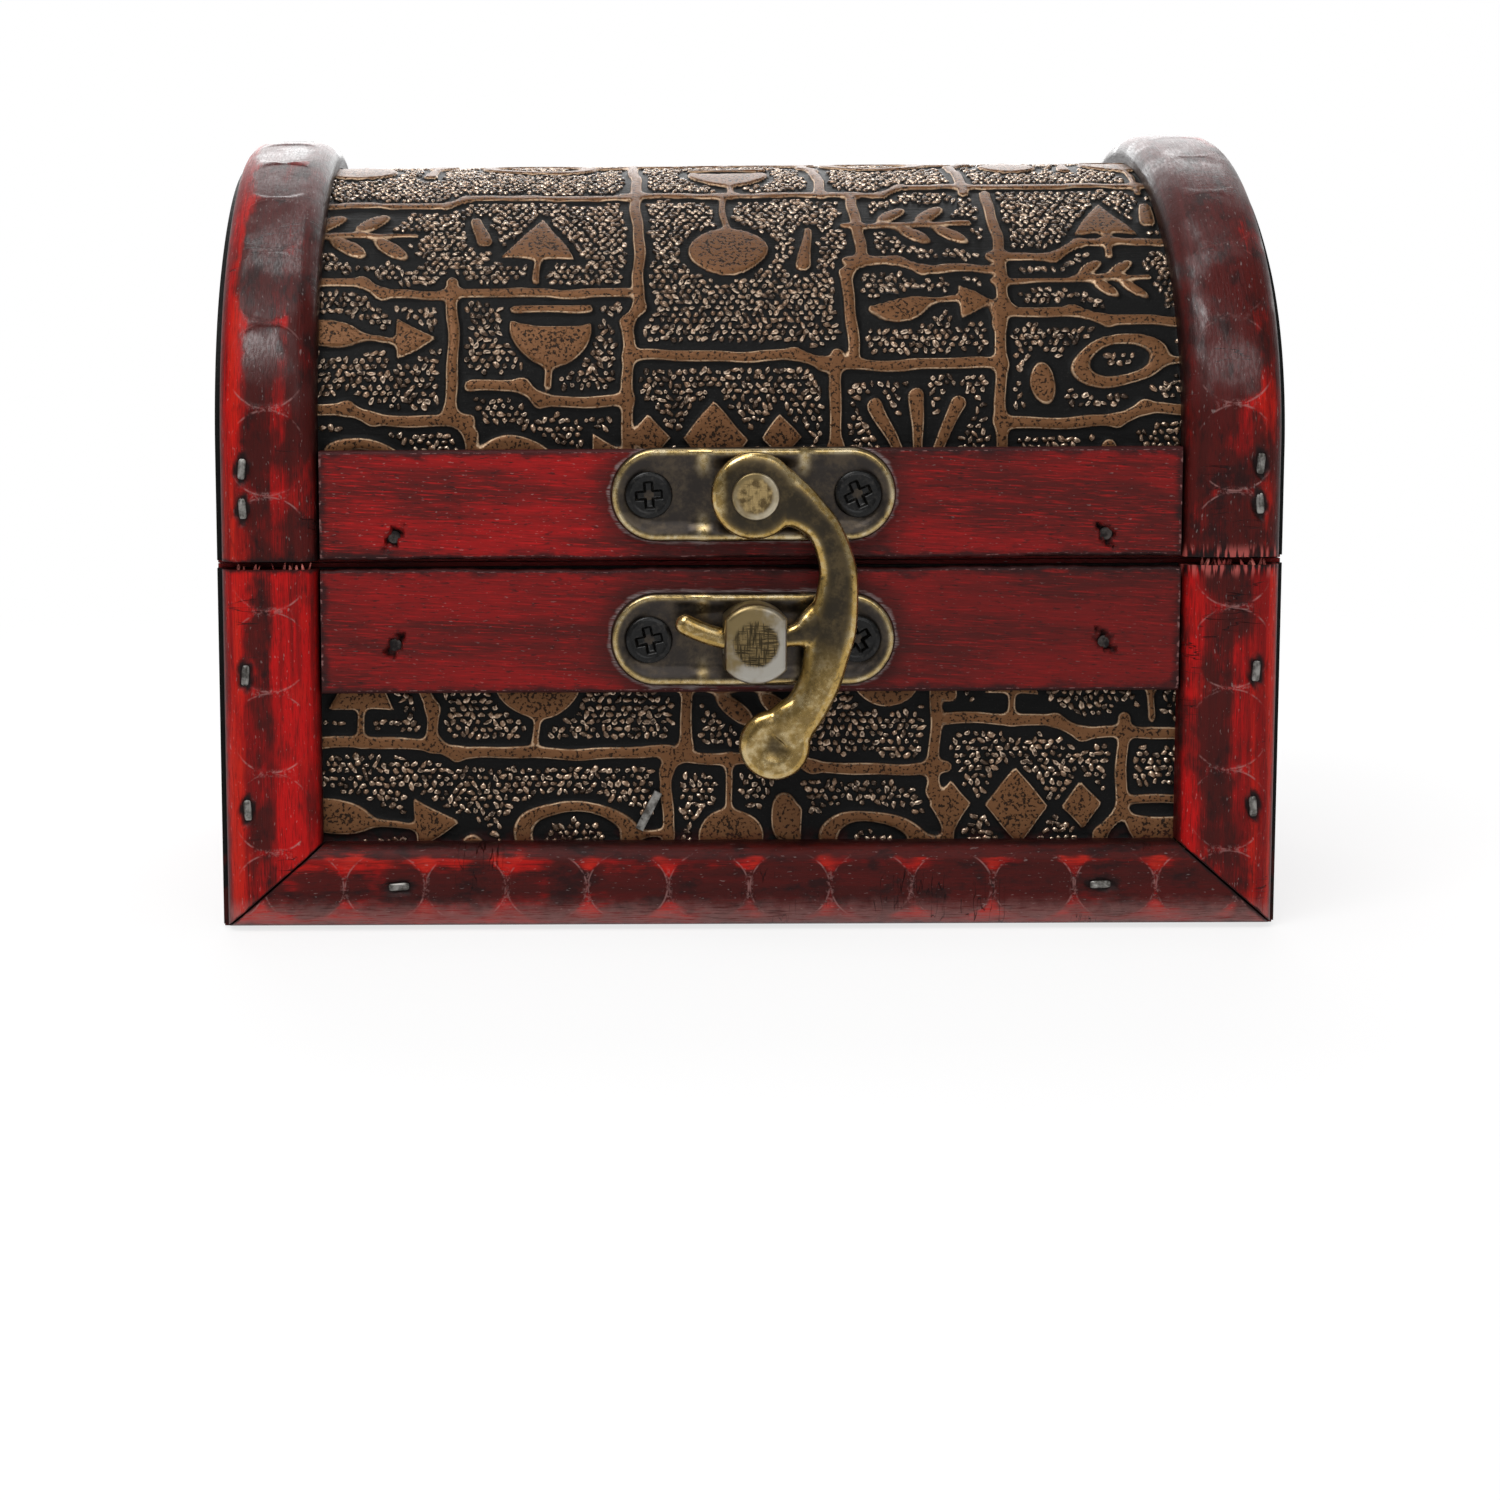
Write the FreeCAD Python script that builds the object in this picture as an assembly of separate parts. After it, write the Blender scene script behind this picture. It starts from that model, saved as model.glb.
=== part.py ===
import FreeCAD, Part
import math
import os

# A small wooden treasure chest with an arched, leather covered lid.
# Millimetres. Front faces -Y, +X is to the right, +Z is up.
# The origin is the middle of the underside.

# Carcass: flat boards on a thin bottom panel
chest_length = 105.4
carcass_depth = 70.8
board = 3.5
floor_panel = 2.0
split_height = 36.7
lid_rest_gap = 0.1

# Lid arch: upright to the spring line, then shoulder, crown and shoulder arcs, all on the
# leather's outer face. The arch is lower than a half round by arch_flat.
spring_rise = 10.5
arch_flat = 6.4
shoulder_share = 0.839
arch_panel = 1.8
leather = 0.8

# Flat rails beside the split, which leave a dark seam between them
seam_gap = 0.8
rail_thickness = 2.0
base_rail_height = 12.4
lid_rail_height = 10.8
rail_end_gap = 0.2

# Rounded strips: corner posts, lid trims and bottom mouldings
trim_width = 9.6
trim_thickness = 3.0
trim_edge_radius = 2.0
trim_inset = 0.6
moulding_height = 8.4
moulding_lift = 0.35
mitre_gap = 0.2

# Flat brads through the rounded strips; levels are shares of each strip's straight run
brad_long = 2.2
brad_short = 1.0
brad_sink = 0.1
brad_bite = 4.0
brad_inset = 2.3
post_brad_levels = (0.13, 0.62)
trim_brad_levels = (0.5, 0.87)
moulding_brad_share = 0.82

# Round nails: sunk in the rails, and up through the bottom panel
nail_radius = 0.6
nail_hole_gap = 0.02
nail_sink = 0.5
nail_bite = 2.2
rail_nail_inset = 7.3
base_nail_rise = 4.8
lid_nail_rise = 2.3
floor_nail_bite = 6.0
floor_nail_sink = 0.2
floor_nail_spread = 24.0

# One stray staple, leaning to the right, in the front leather
staple_crown = 4.2
staple_wire = 0.8
staple_leg = 3.0
staple_from_middle = 9.9
staple_rise = 3.0
staple_lean = 27.0

# Two small hinges on the back rails
hinge_spread_share = 0.634
hinge_width = 16.0
hinge_leaf_height = 7.5
hinge_leaf = 0.7
hinge_axis_inset = 0.3
barrel_radius = 1.1
knuckle_gap = 0.2
barrel_room = 0.3
pin_radius = 0.55
pin_running_gap = 0.05
pin_seat_gap = 0.02
pin_head_radius = 0.85
pin_head = 0.35
hinge_screw_radius = 0.7
hinge_screw_head_radius = 1.35
hinge_screw_dome = 0.6
hinge_screw_reach = 4.6
hinge_screw_spread = 9.6
hinge_slot = 0.35

# Swing latch: dished plates, a hook on a rivet, and a slotted catch block
latch_offset = 0.3
pivot_above_rail_middle = 1.0
catch_below_rail_middle = 0.85
plate_length = 28.0
plate_height = 9.2
plate_thickness = 1.1
plate_rim = 0.9
plate_dish = 0.45
bridge_length = 10.0
bridge_rise = 0.6
plate_screw_inset = 3.8
screw_radius = 1.2
screw_hole_gap = 0.05
screw_head_radius = 2.3
screw_head = 0.55
screw_dome = 0.35
screw_reach = 5.2
cross_length = 3.2
cross_width = 0.9
cross_depth = 0.5
hook_lift = 0.1
hook_thickness = 2.0
hook_edge_round = 0.5
eye_radius = 4.3
rivet_radius = 1.5
rivet_head_radius = 2.3
rivet_head = 0.7
rivet_edge = 0.2
rivet_running_gap = 0.05
paddle_radius = 3.6
paddle_dome = 1.3
tongue_width = 2.3
tongue_start_angle = 15.5
tongue_tip_angle = 27.0
catch_width = 6.0
catch_height = 7.8
catch_face = 1.7
catch_edge = 0.6
catch_room = 0.25
catch_tail_radius = 1.4

# Hook arm, as shares of the reach from the pivot to the tongue: right and up from the pivot
arm_outer_shares = [(0.388, 0.056), (0.622, -0.252), (0.731, -0.664), (0.706, -0.986), (0.545, -1.434)]
arm_lower_shares = [(0.238, -1.413), (0.322, -1.273), (0.35, -1.14)]
arm_upper_shares = [(0.385, -0.797), (0.455, -0.601), (0.423, -0.364), (0.322, -0.252), (0.231, -0.241)]
paddle_shares = (0.154, -1.72)
paddle_outer_angle = 16.0
paddle_inner_angle = 100.0
eye_outer_angle = 45.0
eye_inner_angle = -62.0

# Distances out from the middle plane, and levels up from the underside
half_length = chest_length / 2
end_inner = half_length - board
board_out = carcass_depth / 2
board_in = board_out - board
leather_out = board_out + leather
rail_out = leather_out + rail_thickness
trim_out = leather_out + trim_thickness
trim_outer = half_length - trim_inset
trim_inner = trim_outer - trim_width
rail_half = trim_inner - rail_end_gap
base_top = split_height - seam_gap / 2
lid_bottom = split_height + seam_gap / 2
base_rail_bottom = base_top - base_rail_height
lid_rail_top = lid_bottom + lid_rail_height
moulding_top = moulding_lift + moulding_height
pivot_height = (lid_bottom + lid_rail_top) / 2 + pivot_above_rail_middle
catch_middle = (base_rail_bottom + base_top) / 2 - catch_below_rail_middle
reach = pivot_height - catch_middle
hinge_axis_out = trim_out - hinge_axis_inset

# Crown arc that meets both shoulder arcs smoothly
spring_height = lid_bottom + spring_rise
arch_rise = leather_out - arch_flat
crown_height = spring_height + arch_rise
shoulder_radius = shoulder_share * arch_rise
shoulder_middle = leather_out - shoulder_radius
crown_radius = (shoulder_middle ** 2 + arch_rise ** 2 - shoulder_radius ** 2) / (
    2 * (arch_rise - shoulder_radius))
crown_middle = crown_height - crown_radius
shoulder_angle = math.degrees(math.atan2(spring_height - crown_middle, shoulder_middle))

same_place = 0.001
front, back = -1, 1
left, right = -1, 1
sides = ((front, "front"), (back, "back"))
ends = ((left, "left"), (right, "right"))
nodes = {}


def point(x, y, z):
    return FreeCAD.Vector(x, y, z)


def slab(x0, x1, y0, y1, z0, z1):
    low = point(min(x0, x1), min(y0, y1), min(z0, z1))
    return Part.makeBox(abs(x1 - x0), abs(y1 - y0), abs(z1 - z0), low)


def rod_across(radius, x, z, y0, y1):
    return Part.makeCylinder(radius, abs(y1 - y0), point(x, min(y0, y1), z), point(0, 1, 0))


def rod_along(radius, y, z, x0, x1):
    return Part.makeCylinder(radius, abs(x1 - x0), point(min(x0, x1), y, z), point(1, 0, 0))


def line(a, b):
    return Part.LineSegment(a, b).toShape()


def arc(a, b, c):
    return Part.Arc(a, b, c).toShape()


def face_of(edges):
    return Part.Face(Part.Wire(Part.__sortEdges__(edges)))


def dome_across(radius, rise, x, z, y, facing):
    # Spherical cap that stands on the plane y and bulges towards facing
    ball = (radius ** 2 + rise ** 2) / (2 * rise)
    sphere = Part.makeSphere(ball, point(x, y + facing * (rise - ball), z))
    return sphere.common(slab(x - radius, x + radius, y, y + facing * rise, z - radius, z + radius))


def rounded_section(low, high, place):
    # Flat backed strip with two rounded front edges; place(u, h) puts it in space
    r = trim_edge_radius
    t = trim_thickness
    slant = r * math.sin(math.radians(45))
    corners = [place(low, 0), place(low, t - r), place(low + r, t),
               place(high - r, t), place(high, t - r), place(high, 0)]
    low_mid = place(low + r - slant, t - r + slant)
    high_mid = place(high - r + slant, t - r + slant)
    return face_of([line(corners[0], corners[1]), arc(corners[1], low_mid, corners[2]),
                    line(corners[2], corners[3]), arc(corners[3], high_mid, corners[4]),
                    line(corners[4], corners[5]), line(corners[5], corners[0])])


def arch_edges(inset):
    # Arch from the front spring point over the crown to the back one, inset from the leather's face
    r = shoulder_radius - inset
    turn = math.radians(shoulder_angle)

    def on_shoulder(side, angle):
        out = shoulder_middle + r * math.cos(angle)
        return point(0, side * out, spring_height + r * math.sin(angle))

    crown = point(0, 0, crown_height - inset)
    tops = [on_shoulder(side, turn) for side in (front, back)]
    return [arc(on_shoulder(front, 0), on_shoulder(front, turn / 2), tops[0]),
            arc(tops[0], crown, tops[1]),
            arc(tops[1], on_shoulder(back, turn / 2), on_shoulder(back, 0))]


def arch_sheet(inset, thickness, bottom):
    # Bent sheet with straight legs down to bottom, as long as the chest
    outer = leather_out - inset
    inner = outer - thickness
    edges = arch_edges(inset) + arch_edges(inset + thickness)
    for side in (front, back):
        foot_out = point(0, side * outer, bottom)
        foot_in = point(0, side * inner, bottom)
        edges.append(line(foot_out, foot_in))
        if bottom < spring_height:
            edges.append(line(foot_out, point(0, side * outer, spring_height)))
            edges.append(line(foot_in, point(0, side * inner, spring_height)))
    sheet = face_of(edges).extrude(point(chest_length, 0, 0))
    sheet.translate(point(-half_length, 0, 0))
    return sheet


def arched_trim(end):
    # The rounded section carried up the front, over the arch and down the back
    def place(u, h):
        return point(end * u, front * (leather_out + h), lid_bottom)

    section = rounded_section(trim_inner, trim_outer, place)
    over = point(-1, 0, 0)
    front_middle = point(0, front * shoulder_middle, spring_height)
    back_middle = point(0, back * shoulder_middle, spring_height)
    top_middle = point(0, 0, crown_middle)
    crown_angle = 2 * (90 - shoulder_angle)
    run = spring_height - lid_bottom
    pieces = [section.extrude(point(0, 0, run))]
    section.translate(point(0, 0, run))
    for middle, angle in ((front_middle, shoulder_angle), (top_middle, crown_angle),
                          (back_middle, shoulder_angle)):
        pieces.append(section.revolve(middle, over, angle))
        section.rotate(middle, over, angle)
    pieces.append(section.extrude(point(0, 0, -run)))
    return pieces[0].multiFuse(pieces[1:]).removeSplitter()


# Mitre between post and moulding: a slanting line from the inner to the outer corner
mitre_slope = (moulding_lift - moulding_top) / (trim_outer - trim_inner)
mitre_shift = mitre_gap / 2 * math.hypot(1, mitre_slope)


def mitre_level(x):
    return moulding_top + (x - trim_inner) * mitre_slope


def upright_prism(outline, side):
    # Prism through the whole thickness of a strip, from an outline in X and Z
    corners = [point(x, side * leather_out, z) for x, z in outline]
    shape = Part.Face(Part.makePolygon(corners + corners[:1]))
    return shape.extrude(point(0, side * trim_thickness, 0))


def post(end, side):
    def place(u, h):
        return point(end * u, side * (leather_out + h), moulding_lift)

    strip = rounded_section(trim_inner, trim_outer, place).extrude(
        point(0, 0, base_top - moulding_lift))
    keep = upright_prism([(end * trim_inner, base_top), (end * trim_outer, base_top),
                          (end * trim_outer, mitre_level(trim_outer) + mitre_shift),
                          (end * trim_inner, mitre_level(trim_inner) + mitre_shift)], side)
    return strip.common(keep)


def moulding(side):
    def place(u, h):
        return point(-trim_outer, side * (leather_out + h), u)

    strip = rounded_section(moulding_lift, moulding_top, place).extrude(point(2 * trim_outer, 0, 0))
    foot = trim_outer + mitre_shift / mitre_slope
    top = trim_inner + mitre_shift / mitre_slope
    keep = upright_prism([(-foot, moulding_lift), (foot, moulding_lift),
                          (top, moulding_top), (-top, moulding_top)], side)
    return strip.common(keep)


def brad(x, z, wide, tall, side):
    head = trim_out - brad_sink
    return slab(x - wide / 2, x + wide / 2, side * head, side * (leather_out - brad_bite),
                z - tall / 2, z + tall / 2)


def rail_nail(x, z, side):
    head = rail_out - nail_sink
    tip = leather_out - leather - nail_bite
    nail = rod_across(nail_radius, x, z, side * head, side * tip)
    hole = rod_across(nail_radius + nail_hole_gap, x, z, side * rail_out, side * tip)
    return nail, hole


def levels(low, high, shares):
    return [low + share * (high - low) for share in shares]


def drilled(shape, holes):
    return shape.cut(list(holes))


# Brads, and the same shapes as their holes
brad_reach = trim_outer - brad_inset
post_brads = {side: [brad(end * brad_reach, z, brad_short, brad_long, side) for end, word in ends
                     for z in levels(moulding_top, base_top, post_brad_levels)]
              for side, word in sides}
trim_brads = {side: [brad(end * brad_reach, z, brad_short, brad_long, side) for end, word in ends
                     for z in levels(lid_bottom, spring_height, trim_brad_levels)]
              for side, word in sides}
moulding_brads = {side: [brad(end * trim_inner * moulding_brad_share,
                              (moulding_lift + moulding_top) / 2, brad_long, brad_short, side)
                         for end, word in ends]
                  for side, word in sides}
nail_reach = rail_half - rail_nail_inset
base_nails = {side: [rail_nail(end * nail_reach, base_rail_bottom + base_nail_rise, side)
                     for end, word in ends] for side, word in sides}
lid_nails = {side: [rail_nail(end * nail_reach, lid_bottom + lid_nail_rise, side)
                    for end, word in ends] for side, word in sides}


def floor_rod(end, y, radius, bottom):
    # Upright rod through the bottom panel into the middle of an end board's edge
    x = end * (half_length - board / 2)
    return Part.makeCylinder(radius, floor_panel + floor_nail_bite - bottom, point(x, y, bottom))


nail_places = [(end, y) for end, word in ends for y in (-floor_nail_spread, 0, floor_nail_spread)]
floor_nails = [floor_rod(end, y, nail_radius, floor_nail_sink) for end, y in nail_places]
floor_holes = [floor_rod(end, y, nail_radius + nail_hole_gap, 0) for end, y in nail_places]

# The staple: a crown lying on the leather and two legs through it into the board
staple_x = -staple_from_middle
staple_z = moulding_top + staple_rise
half_wire = staple_wire / 2
crown_bar = slab(staple_x - half_wire, staple_x + half_wire, -leather_out, -leather_out - half_wire,
                 staple_z - staple_crown / 2, staple_z + staple_crown / 2)
staple_legs = []
for up in (-1, 1):
    tip = staple_z + up * staple_crown / 2
    staple_legs.append(slab(staple_x - half_wire, staple_x + half_wire, -leather_out,
                            -leather_out + staple_leg, tip, tip - up * staple_wire))
for piece in [crown_bar] + staple_legs:
    piece.rotate(point(staple_x, 0, staple_z), point(0, 1, 0), staple_lean)
leather_staple = crown_bar.multiFuse(staple_legs).removeSplitter()


# Hinges on the back rails
axis_y = back * hinge_axis_out
knuckle_length = (hinge_width - 2 * knuckle_gap) / 3


def knuckles(middle):
    # Three spans along the barrel, the middle one belongs to the upper leaf
    low = middle - hinge_width / 2
    step = knuckle_length + knuckle_gap
    return [(low + i * step, low + i * step + knuckle_length) for i in range(3)]


def hinge_leaf_shape(middle, up):
    # up is 1 for the lid's leaf and -1 for the base's leaf
    spans = knuckles(middle)
    mine = spans[1:2] if up > 0 else [spans[0], spans[2]]
    edge = split_height + up * (barrel_radius + barrel_room)
    plate = slab(middle - hinge_width / 2, middle + hinge_width / 2, rail_out, rail_out + hinge_leaf,
                 edge, split_height + up * hinge_leaf_height)
    webs = [slab(a, b, rail_out, rail_out + hinge_leaf, split_height, edge) for a, b in mine]
    barrels = [rod_along(barrel_radius, axis_y, split_height, a, b) for a, b in mine]
    gap = pin_running_gap if up > 0 else pin_seat_gap
    bore = rod_along(pin_radius + gap, axis_y, split_height, middle - hinge_width, middle + hinge_width)
    return plate.multiFuse(webs + barrels).removeSplitter().cut(bore)


def hinge_pin(middle):
    half = hinge_width / 2
    shank = rod_along(pin_radius, axis_y, split_height, middle - half, middle + half)
    heads = [rod_along(pin_head_radius, axis_y, split_height, middle + end * half,
                       middle + end * (half + pin_head)) for end, word in ends]
    return shank.multiFuse(heads).removeSplitter()


def hinge_screw(x, z):
    seat = rail_out + hinge_leaf
    shank = rod_across(hinge_screw_radius, x, z, seat, seat - hinge_screw_reach)
    head = dome_across(hinge_screw_head_radius, hinge_screw_dome, x, z, seat, back)
    slot = slab(x - hinge_screw_head_radius, x + hinge_screw_head_radius,
                seat + hinge_screw_dome - hinge_slot, seat + hinge_screw_dome,
                z - hinge_slot / 2, z + hinge_slot / 2)
    return shank.fuse(head).cut(slot)


def hinge_screw_hole(x, z):
    seat = rail_out + hinge_leaf
    return rod_across(hinge_screw_radius + nail_hole_gap, x, z, seat, seat - hinge_screw_reach)


hinge_middles = [end * hinge_spread_share * rail_half for end, word in ends]
leaf_screw_rise = (hinge_leaf_height + barrel_radius + barrel_room) / 2
hinge_spots = {up: [(middle + step * hinge_screw_spread / 2, split_height + up * leaf_screw_rise)
                    for middle in hinge_middles for step in (-1, 1)] for up in (-1, 1)}
hinge_holes = {up: [hinge_screw_hole(x, z) for x, z in hinge_spots[up]] for up in (-1, 1)}
barrel_rooms = [rod_along(barrel_radius + barrel_room, axis_y, split_height,
                          middle - hinge_width / 2 - pin_head - barrel_room,
                          middle + hinge_width / 2 + pin_head + barrel_room) for middle in hinge_middles]


# Latch plates, screws, rivet and catch
plate_face = rail_out + plate_thickness
dish_floor = plate_face - plate_dish
bridge_face = plate_face + bridge_rise
hook_back = bridge_face + hook_lift
hook_face = hook_back + hook_thickness


def obround(length, height, z, d0, d1):
    half = (length - height) / 2
    ends_round = [rod_across(height / 2, latch_offset + end * half, z, -d0, -d1) for end, word in ends]
    middle = slab(latch_offset - half, latch_offset + half, -d0, -d1, z - height / 2, z + height / 2)
    return middle.multiFuse(ends_round).removeSplitter()


def latch_plate(z, hole_radius, top):
    # Dished plate with a raised bridge across its middle, up to top, and its three holes
    plate = obround(plate_length, plate_height, z, rail_out, plate_face)
    dish = obround(plate_length - 2 * plate_rim, plate_height - 2 * plate_rim, z, dish_floor, plate_face)
    bridge = slab(latch_offset - bridge_length / 2, latch_offset + bridge_length / 2, -rail_out, -top,
                  z - plate_height / 2, z + plate_height / 2)
    holes = [rod_across(screw_radius + screw_hole_gap, x, z, -rail_out, -plate_face)
             for x in screw_places]
    holes.append(rod_across(hole_radius, latch_offset, z, -rail_out, -top))
    return plate.cut(dish).fuse(bridge).removeSplitter().cut(holes)


screw_places = [latch_offset + end * (plate_length / 2 - plate_screw_inset) for end, word in ends]


def plate_screw(x, z):
    rim = dish_floor + screw_head
    shank = rod_across(screw_radius, x, z, -dish_floor, -(dish_floor - screw_reach))
    head = rod_across(screw_head_radius, x, z, -dish_floor, -rim)
    cap = dome_across(screw_head_radius, screw_dome, x, z, -rim, front)
    top = rim + screw_dome
    cross = [slab(x - a / 2, x + a / 2, -top, -(top - cross_depth), z - b / 2, z + b / 2)
             for a, b in ((cross_length, cross_width), (cross_width, cross_length))]
    return shank.multiFuse([head, cap]).removeSplitter().cut(cross)


def screw_holes(z):
    return [rod_across(screw_radius + nail_hole_gap, x, z, -rail_out, -(dish_floor - screw_reach))
            for x in screw_places]


def polar(radius, degrees):
    # Point on a circle about the pivot, degrees counted from straight down towards +X
    angle = math.radians(degrees)
    return (radius * math.sin(angle), -radius * math.cos(angle))


def circle_point(middle, radius, degrees):
    angle = math.radians(degrees)
    return (middle[0] + radius * math.cos(angle), middle[1] + radius * math.sin(angle))


def hook_shape():
    # Eye, curved arm and paddle in one outline, with a tongue concentric with the pivot
    def at(spot):
        return point(latch_offset + spot[0], -hook_back, pivot_height + spot[1])

    def scaled(spots):
        return [(reach * x, reach * z) for x, z in spots]

    def smooth(spots):
        curve = Part.BSplineCurve()
        curve.interpolate([at(spot) for spot in spots])
        return curve.toShape()

    # A negative radius gives the far side of a circle
    paddle = scaled([paddle_shares])[0]
    eye_outer = circle_point((0, 0), eye_radius, eye_outer_angle)
    eye_inner = circle_point((0, 0), eye_radius, eye_inner_angle)
    eye_far = circle_point((0, 0), -eye_radius, (eye_outer_angle + eye_inner_angle) / 2)
    paddle_outer = circle_point(paddle, paddle_radius, paddle_outer_angle)
    paddle_inner = circle_point(paddle, paddle_radius, paddle_inner_angle)
    paddle_far = circle_point(paddle, -paddle_radius, (paddle_outer_angle + paddle_inner_angle) / 2)
    low = reach + tongue_width / 2
    high = reach - tongue_width / 2
    tip_step = math.degrees(tongue_width / 2 / reach)
    start, tip = tongue_start_angle, -tongue_tip_angle
    middle = (start + tip) / 2
    edges = [
        smooth([eye_outer] + scaled(arm_outer_shares) + [paddle_outer]),
        arc(at(paddle_outer), at(paddle_far), at(paddle_inner)),
        smooth([paddle_inner] + scaled(arm_lower_shares) + [polar(low, start)]),
        arc(at(polar(low, start)), at(polar(low, middle)), at(polar(low, tip))),
        arc(at(polar(low, tip)), at(polar(reach, tip - tip_step)), at(polar(high, tip))),
        arc(at(polar(high, tip)), at(polar(high, middle)), at(polar(high, start))),
        smooth([polar(high, start)] + scaled(arm_upper_shares) + [eye_inner]),
        arc(at(eye_inner), at(eye_far), at(eye_outer))]
    blank = face_of(edges).extrude(point(0, -hook_thickness, 0))
    blank = blank.makeFillet(hook_edge_round, front_rim(blank, hook_face))
    dome = dome_across(paddle_radius - hook_edge_round, paddle_dome, latch_offset + paddle[0],
                       pivot_height + paddle[1], -hook_face, front)
    bore = rod_across(rivet_radius + rivet_running_gap, latch_offset, pivot_height,
                      -hook_back, -hook_face)
    return blank.fuse(dome).cut(bore)


def front_rim(shape, face):
    # Edges whose ends lie in the plane that far out in front
    return [edge for edge in shape.Edges
            if all(abs(end.Y + face) < same_place for end in edge.Vertexes)]


def rivet_shape():
    seat = hook_face + rivet_running_gap
    top = seat + rivet_head
    shank = rod_across(rivet_radius, latch_offset, pivot_height, -rail_out, -seat)
    head = rod_across(rivet_head_radius, latch_offset, pivot_height, -seat, -top)
    head = head.makeFillet(rivet_edge, front_rim(head, top))
    return shank.fuse(head)


def catch_shape():
    # Round button with two flat flanks, a through slot for the tongue and a tail in the plate
    slot_back = hook_back - catch_room
    slot_face = hook_face + catch_room
    face = slot_face + catch_face
    half = catch_width / 2
    button = rod_across(catch_height / 2, latch_offset, catch_middle, -plate_face, -face)
    flanks = slab(latch_offset - half, latch_offset + half, -plate_face, -face,
                  catch_middle - catch_height / 2, catch_middle + catch_height / 2)
    button = button.common(flanks)
    button = button.makeFillet(catch_edge, front_rim(button, face))
    inner = reach - tongue_width / 2
    slot_top = pivot_height - math.sqrt(inner ** 2 - half ** 2) + catch_room
    slot_bottom = pivot_height - reach - tongue_width / 2 - catch_room
    slot = slab(latch_offset - half, latch_offset + half, -slot_back, -slot_face, slot_bottom, slot_top)
    tail = rod_across(catch_tail_radius, latch_offset, catch_middle, -rail_out, -plate_face)
    return button.cut(slot).fuse(tail)


# Base boards, leather and rails, side by side
nodes["bottom_panel"] = drilled(slab(-half_length, half_length, -board_out, board_out, 0, floor_panel),
                                floor_holes + moulding_brads[front] + moulding_brads[back])
for end, word in ends:
    end_board = slab(end * end_inner, end * half_length, -board_out, board_out, floor_panel, split_height)
    nodes["base_%s_end" % word] = drilled(end_board, floor_holes + post_brads[front] + post_brads[back])

for side, word in sides:
    nails = [hole for nail, hole in base_nails[side]]
    if side == front:
        through = nails + screw_holes(catch_middle) + staple_legs
    else:
        through = nails + hinge_holes[-1]
    flat = slab(-end_inner, end_inner, side * board_in, side * board_out, floor_panel, split_height)
    sheet = slab(-half_length, half_length, side * board_out, side * leather_out, moulding_lift, base_top)
    rail = slab(-rail_half, rail_half, side * leather_out, side * rail_out, base_rail_bottom, base_top)
    nodes["base_%s_board" % word] = drilled(flat, through + moulding_brads[side] + post_brads[side])
    nodes["base_%s_leather" % word] = drilled(sheet, through + moulding_brads[side] + post_brads[side])
    nodes["base_%s_rail" % word] = drilled(rail, through + (barrel_rooms if side == back else []))
    nodes["base_%s_moulding" % word] = drilled(moulding(side), moulding_brads[side])
    for end, end_word in ends:
        nodes["base_%s_%s_post" % (word, end_word)] = drilled(post(end, side), post_brads[side])

# Lid boards, bent panel, leather, rails and trims
lid_rest = split_height + lid_rest_gap
panel_inset = leather + arch_panel
panel_in = leather_out - panel_inset
for end, word in ends:
    edges = arch_edges(panel_inset)
    for side in (front, back):
        shoulder = point(0, side * board_out, spring_height)
        edges.append(line(point(0, side * panel_in, spring_height), shoulder))
        edges.append(line(shoulder, point(0, side * board_out, lid_rest)))
    edges.append(line(point(0, -board_out, lid_rest), point(0, board_out, lid_rest)))
    end_board = face_of(edges).extrude(point(board, 0, 0))
    end_board.translate(point(min(end * end_inner, end * half_length), 0, 0))
    nodes["lid_%s_end" % word] = drilled(end_board, trim_brads[front] + trim_brads[back])
    nodes["lid_%s_trim" % word] = drilled(arched_trim(end), trim_brads[front] + trim_brads[back])

nodes["lid_arch_panel"] = arch_sheet(leather, arch_panel, spring_height)
lid_through = {front: [hole for nail, hole in lid_nails[front]] + screw_holes(pivot_height),
               back: [hole for nail, hole in lid_nails[back]] + hinge_holes[1]}
nodes["lid_leather"] = drilled(arch_sheet(0, leather, lid_bottom), lid_through[front] + lid_through[back]
                               + trim_brads[front] + trim_brads[back])
for side, word in sides:
    batten = slab(-end_inner, end_inner, side * board_in, side * board_out, lid_rest, spring_height)
    rail = slab(-rail_half, rail_half, side * leather_out, side * rail_out, lid_bottom, lid_rail_top)
    nodes["lid_%s_batten" % word] = drilled(batten, lid_through[side] + trim_brads[side])
    nodes["lid_%s_rail" % word] = drilled(rail, lid_through[side] + (barrel_rooms if side == back else []))

# Fasteners in groups
nodes["base_post_brads"] = Part.makeCompound(post_brads[front] + post_brads[back])
nodes["base_moulding_brads"] = Part.makeCompound(moulding_brads[front] + moulding_brads[back])
nodes["lid_trim_brads"] = Part.makeCompound(trim_brads[front] + trim_brads[back])
for name, pairs in (("base_rail_nails", base_nails), ("lid_rail_nails", lid_nails)):
    nodes[name] = Part.makeCompound([nail for side, word in sides for nail, hole in pairs[side]])
nodes["floor_nails"] = Part.makeCompound(floor_nails)
nodes["leather_staple"] = leather_staple

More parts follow.
